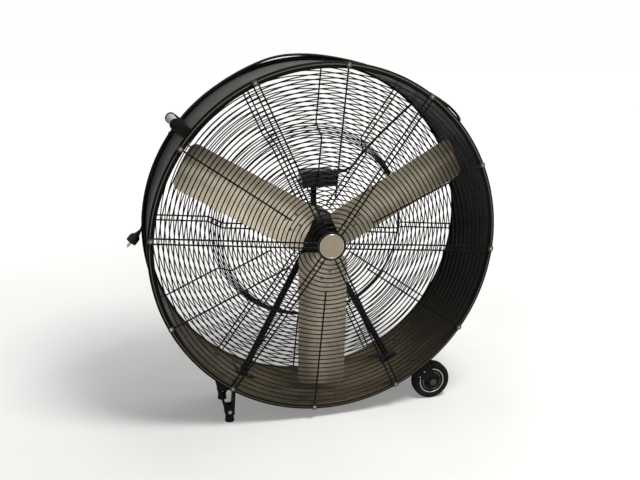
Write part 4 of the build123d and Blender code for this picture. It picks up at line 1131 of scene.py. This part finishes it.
class FAN_OT_wheels(bpy.types.Operator):
    """Adds the two tyres with their tread and the two hubs with their bright rings"""

    bl_idname = "fan.wheels"
    bl_label = "Wheels"

    def execute(self, context):
        w = context.scene.fan_wheels
        half, radius, rim = w.width / 2, w.radius, w.rim_radius
        wall = [(-half + 0.003, rim + 0.0002), (-half, rim + 0.003), (-half, radius - 0.011)]
        wall += [(-half + 0.0012, radius - 0.0105), (-half + 0.0014, radius - 0.006)]
        wall += [(-half + 0.0035, radius - 0.002), (-half + 0.008, radius - 0.0002)]
        grooves = []
        for groove in (-0.0045, 0.0045):
            grooves += [(groove - 0.0012, radius), (groove - 0.0006, radius - 0.0016)]
            grooves += [(groove + 0.0006, radius - 0.0016), (groove + 0.0012, radius)]
        tyre = wall + grooves + [(-d, r) for d, r in reversed(wall)]

        face = [(half, w.bore), (half, 0.0135), (half - 0.0035, 0.0155), (0.0075, 0.022)]
        face += [(0.0068, 0.030), (half - 0.0055, 0.0365), (half - 0.0045, 0.0395)]
        face += [(half - 0.0012, 0.0405), (half - 0.0004, 0.0425), (half - 0.0012, 0.0445)]
        face = rounded([*face, (half - 0.0035, rim - 0.0001)], 0.0012, 2)
        hub = face + [(-d, r) for d, r in reversed(face)]

        rings = []
        for inner, outer in ((0.0390, 0.0440), (0.0296, 0.0318)):
            ring = [(half - 0.0042, inner), (half - 0.0008, inner + 0.0008)]
            ring += [(half + 0.0002, inner * 0.4 + outer * 0.6), (half - 0.0012, outer)]
            rings.append(rounded([*ring, (half - 0.0042, outer)], 0.0006, 2, close=True))

        for end in ("front", "rear"):
            low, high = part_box(f"{end}_wheel_tyre")
            place, body = Matrix.Translation((low + high) / 2), f"{end}_wheel"
            mesh = turned(tyre, place)
            place_piece(f"{end}_tyre", mesh, "tyre_rubber", f"{end}_wheel_tyre", 50, body)
            mesh = turned(hub, place)
            place_piece(f"{end}_hub", mesh, "hub_steel", f"{end}_wheel_hub", 40, body)
            both = [[(side * d, r) for d, r in ring] for side in (-1, 1) for ring in rings]
            trims = [turned(ring, place) for ring in both]
            place_piece(f"{end}_hub_trim", joined(*trims), "bare_steel", limit=60, body=body)
        return {"FINISHED"}


class FAN_OT_handle(bpy.types.Operator):
    """Adds the carrying handle's ribbed sleeve with its end collars, and its strap"""

    bl_idname = "fan.handle"
    bl_label = "Handle"

    def execute(self, context):
        low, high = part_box("handle_grip")
        place = Matrix.Translation((low + high) / 2)
        half, outer, bore = (high.y - low.y) / 2, (high.x - low.x) / 2, 0.0044
        end, valley, ribs = half - 0.009, outer - 0.0012, 15
        step = 2 * end / ribs
        profile = [(-end, bore), (-end, valley)]
        for rib in range(ribs):
            start = -end + rib * step
            profile += [(start + step * 0.12, outer - 0.0004), (start + step * 0.5, outer)]
            profile += [(start + step * 0.88, outer - 0.0004), (start + step * 0.97, valley)]
        profile += [(end, valley), (end, bore)]
        place_piece("grip_sleeve", turned(profile, place, 48), "grip_plastic", "handle_grip", 60)
        ring = [(half - 0.0088, bore), (half - 0.0088, outer), (half, outer), (half, bore)]
        ring = rounded(ring, 0.0014, 3, close=True)
        collars = [turned([(side * d, r) for d, r in ring], place, 48) for side in (-1, 1)]
        place_piece("grip_collars", joined(*collars), "knob_plastic", limit=50)
        softened("handle_strap", "black_steel", "handle_bracket", 0.0008)
        softened("handle_rod", "black_steel", "handle_bolt", 0.0005)
        return {"FINISHED"}


# ---- Brackets, box, bolts and knob ----------------------------------------------------------
END_PARTS = (
    # The piece, its slot, its node and the rounding of its edges, at each end of the fan.
    ("axle", "zinc_steel", "{}_wheel_axle", 0.0007),
    ("foot_pad", "foot_rubber", "{}_rubber_foot", 0.0012),
    ("bell", "motor_paint", "motor_{}_bell", 0.001),
)
SINGLE_PARTS = (
    ("left_leg", "leg_paint", "motor_leg_left", 0.0007),
    ("right_leg", "leg_paint", "motor_leg_right", 0.0007),
    ("cradle_band", "leg_paint", "motor_cradle", 0.0008),
    ("box_case", "box_plastic", "switch_box", 0.0014),
    ("box_lid", "box_plastic", "switch_box_lid", 0.0009),
    ("box_neck", "black_steel", "switch_neck", 0.0006),
    ("lid_screw_set", "zinc_steel", "lid_screws", 0.0003),
    ("leg_bolt_set", "zinc_steel", "leg_bolts", 0.0004),
    ("strap_bolt_set", "zinc_steel", "strap_bolts", 0.0004),
    ("fork_bolt_set", "zinc_steel", "fork_bolts", 0.0004),
    ("bracket_bolt_set", "zinc_steel", "bracket_bolts", 0.0004),
)
# Across and height of each rivet in a fork's plate.
FORK_RIVETS = ((0.3385, 0.1045), (0.3235, 0.0865))
# Radius about the drum's axis at which a foot bracket's web lies.
FOOT_SEAT = 0.53665
FOOT_BOLT, FOOT_WASHER = 0.0034, 0.0012


class FAN_OT_sheet_parts(bpy.types.Operator):
    """Adds the forks, foot pads, switch box, motor mount and bolts with rounded edges"""

    bl_idname = "fan.sheet_parts"
    bl_label = "Forks, Box and Bolts"

    def execute(self, context):
        dome = [(0, 0), (0, 0.0026), (0.0008, 0.0025), (0.0015, 0.0017)]
        dome += [(0.0018, 0.0008), (0.0018, 0)]
        for end in ("front", "rear"):
            softened(f"{end}_fork", "black_steel", f"{end}_wheel_fork", 0.0009)
            near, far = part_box(f"{end}_wheel_fork")
            heads = [
                turned(dome, axis_place((x, y, height), (0, side, 0)), 20)
                for x, height in FORK_RIVETS
                for y, side in ((near.y, -1), (far.y, 1))
            ]
            place_piece(f"{end}_fork_rivets", joined(*heads), "bare_steel", limit=40)
            for name, slot, node, width in END_PARTS:
                softened(f"{end}_{name}", slot, node.format(end), width)
        for row in SINGLE_PARTS:
            softened(*row)
        return {"FINISHED"}


class FAN_OT_feet(bpy.types.Operator):
    """Adds the feet's open brackets, whose plates have a window, and their cross bolts"""

    bl_idname = "fan.feet"
    bl_label = "Foot Brackets"

    def execute(self, context):
        f = context.scene.fan_feet
        half, sheet, lip, lip_sheet = f.width / 2, f.sheet, 0.006, 0.0024
        turns = [f.first_angle + (f.last_angle - f.first_angle) * i / 12 for i in range(13)]
        top = [(FOOT_SEAT * cos(t), FOOT_SEAT * sin(t)) for t in turns]
        low = f.end_height - AXIS_HEIGHT
        left, right = -f.across - f.end_width / 2, -f.across + f.end_width / 2
        outline = top + [(right, low + 0.012), (right, low), (left, low), (left, low + 0.012)]
        window = [(left + 0.0045, low + 0.031), (right - 0.0075, low + 0.031)]
        window += [(right - 0.005, low + 0.05), (right - 0.0035, low + 0.088)]
        window += [(left - 0.0105, low + 0.088), (left - 0.0005, low + 0.05)]
        window = rounded(window, 0.003, 3, close=True)
        centre = sum(window, Vector((0, 0))) / len(window)
        spread = [point - centre for point in window]
        collar = [centre + away + away.normalized() * lip_sheet for away in spread]
        inside = FOOT_SEAT + sheet
        web = top + [(inside * cos(t), inside * sin(t)) for t in turns[::-1]]
        floor = [(left, low), (right, low), (right, low + sheet), (left, low + sheet)]
        washer = [(0, FOOT_BOLT), (0, 0.006), (0.0009, 0.006)]
        washer += [(FOOT_WASHER, 0.0056), (FOOT_WASHER, FOOT_BOLT)]
        reach = half + 0.0052
        rod = [(-reach, 0), (-reach, FOOT_BOLT), (reach, FOOT_BOLT), (reach, 0)]

        bolts = []
        for end in ("front", "rear"):
            near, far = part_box(f"{end}_foot_bracket")
            middle = (near.y + far.y) / 2 - RIM_FACE
            bolt = FAN_PLACE @ Vector((-f.across, middle, f.bolt_height - AXIS_HEIGHT))
            bolts.append(turned(rod, axis_place(bolt, (0, 1, 0)), 24))
            parts = []
            for side in (-1, 1):
                out = Vector((0, side, 0))
                outer, inner = middle + side * half, middle + side * (half - sheet)
                edge = middle + side * (half - sheet - lip)
                parts.append(plate(outline, window, min(outer, inner), max(outer, inner)))
                parts.append(plate(collar, window, min(edge, inner), max(edge, inner), edge=0.0004))
                bolts.append(turned(washer, axis_place(bolt + out * half, out), 28))
                head = axis_place(bolt + out * (half + FOOT_WASHER), out)
                bolts.append(hexagon(0.0046, 0.0036, head))
            for shape in (web, floor):
                parts.append(plate(shape, None, middle - half + sheet, middle + half - sheet))
            place_piece(f"{end}_foot", joined(*parts), "black_steel", f"{end}_foot_bracket", 40)
        place_piece("foot_bolt_set", joined(*bolts), "bare_steel", "foot_bolts", 30)
        return {"FINISHED"}


class FAN_OT_knob(bpy.types.Operator):
    """Adds the fluted speed knob with its pointer, and the motor's ribs and bolts"""

    bl_idname = "fan.knob"
    bl_label = "Knob and Motor Details"

    def execute(self, context):
        low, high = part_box("speed_knob")
        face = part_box("switch_box_lid")[1].y + 0.0005
        place = Matrix.Translation(((low.x + high.x) / 2, face, (low.z + high.z) / 2))
        outer, height, flutes, corners = (high.x - low.x) / 2, high.y - face, 12, 96
        steps = (
            # The depth, the share of the full radius and the flutes' depth.
            (0, 1, 0),
            (0.0032, 0.985, 0),
            (0.0036, 0.93, 0.0011),
            (height - 0.0026, 0.87, 0.0011),
            (height - 0.0014, 0.85, 0.0005),
            (height - 0.0007, 0.8, 0),
        )
        rings = []
        for depth, size, cut in steps:
            ring = []
            for turn in (2 * pi * i / corners for i in range(corners)):
                r = outer * size - cut * (0.5 + 0.5 * cos(flutes * turn))
                ring.append((r * cos(turn), depth, r * sin(turn)))
            rings.append(ring)
        form = bmesh.new()
        stack(form, rings)
        mesh = mesh_of(form, "knob", place)
        place_piece("fluted_knob", mesh, "knob_plastic", "speed_knob", 40, "knob")
        bar = [(-0.0009, 0.0025), (0.0009, 0.0025), (0.0009, 0.0105), (-0.0009, 0.0105)]
        pointer = plate(bar, None, height - 0.0012, height, place, edge=0.0002)
        place_piece("knob_pointer", pointer, "grip_plastic", limit=40, body="knob")

        low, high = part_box("motor_shell")
        middle = Vector(((low.x + high.x) / 2, 0, (low.z + high.z) / 2))
        shell, place = (high.x - low.x) / 2, Matrix.Translation(middle)
        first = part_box("motor_cradle")[1].y + 0.0075
        bands = []
        for index in range(5):
            y = first + index * 0.0115
            rib = [(y - 0.0022, shell - 0.0008), (y - 0.0016, shell + 0.0022)]
            rib += [(y + 0.0016, shell + 0.0022), (y + 0.0022, shell - 0.0008)]
            bands.append(turned(rounded(rib, 0.0006, 2, close=True), place))
        place_piece("motor_ribs", joined(*bands), "motor_paint", limit=50)
        rear, bolt_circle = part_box("motor_rear_bell")[1].y, 0.056
        bolts = []
        for turn in (radians(45 + 90 * index) for index in range(4)):
            seat = middle + Vector((bolt_circle * cos(turn), rear, bolt_circle * sin(turn)))
            bolts.append(hexagon(0.0042, 0.0026, axis_place(seat, (0, 1, 0))))
        place_piece("bell_bolts", joined(*bolts), "bare_steel", limit=40)
        return {"FINISHED"}


class FAN_OT_finishes(bpy.types.Operator):
    """Gives every node that stays on show its finish"""

    bl_idname = "fan.finishes"
    bl_label = "Finishes"

    def execute(self, context):
        for row in frame["record"]["subparts"]:
            node = frame["nodes"][row["node"]]
            if not node.hide_render:
                node.data.materials.clear()
                node.data.materials.append(finish_of(row["material_slot"]))
        return {"FINISHED"}


class FAN_PT_panel(bpy.types.Panel):
    """Lists the fan's builders and their sizes and colours"""

    bl_label = "Drum Fan"
    bl_idname = "FAN_PT_panel"
    bl_space_type = "VIEW_3D"
    bl_region_type = "UI"
    bl_category = "Drum Fan"

    def draw(self, context):
        for operator in OPERATORS:
            self.layout.operator(operator.bl_idname)
        for group in GROUPS:
            sizes = getattr(context.scene, group)
            box = self.layout.box()
            for name in sizes.bl_rna.properties.keys():
                if name not in ("rna_type", "name"):
                    box.prop(sizes, name)


OPERATORS = (
    FAN_OT_stage,
    FAN_OT_cord,
    FAN_OT_guards,
    FAN_OT_guard_screws,
    FAN_OT_badge,
    FAN_OT_drum,
    FAN_OT_wheels,
    FAN_OT_handle,
    FAN_OT_feet,
    FAN_OT_knob,
    FAN_OT_sheet_parts,
    FAN_OT_finishes,
)
GROUPS = {
    "fan_guards": GuardSizes,
    "fan_cord": CordSizes,
    "fan_wheels": WheelSizes,
    "fan_feet": FootSizes,
    "fan_colours": FinishColours,
}


def register():
    for cls in (*GROUPS.values(), *OPERATORS, FAN_PT_panel):
        bpy.utils.register_class(cls)
    for name, group in GROUPS.items():
        setattr(bpy.types.Scene, name, bpy.props.PointerProperty(type=group))


def unregister():
    for name in GROUPS:
        delattr(bpy.types.Scene, name)
    for cls in (FAN_PT_panel, *reversed(OPERATORS), *GROUPS.values()):
        bpy.utils.unregister_class(cls)


def main():
    register()
    for operator in OPERATORS:
        family, name = operator.bl_idname.split(".")
        getattr(getattr(bpy.ops, family), name)()


if __name__ == "__main__":
    main()
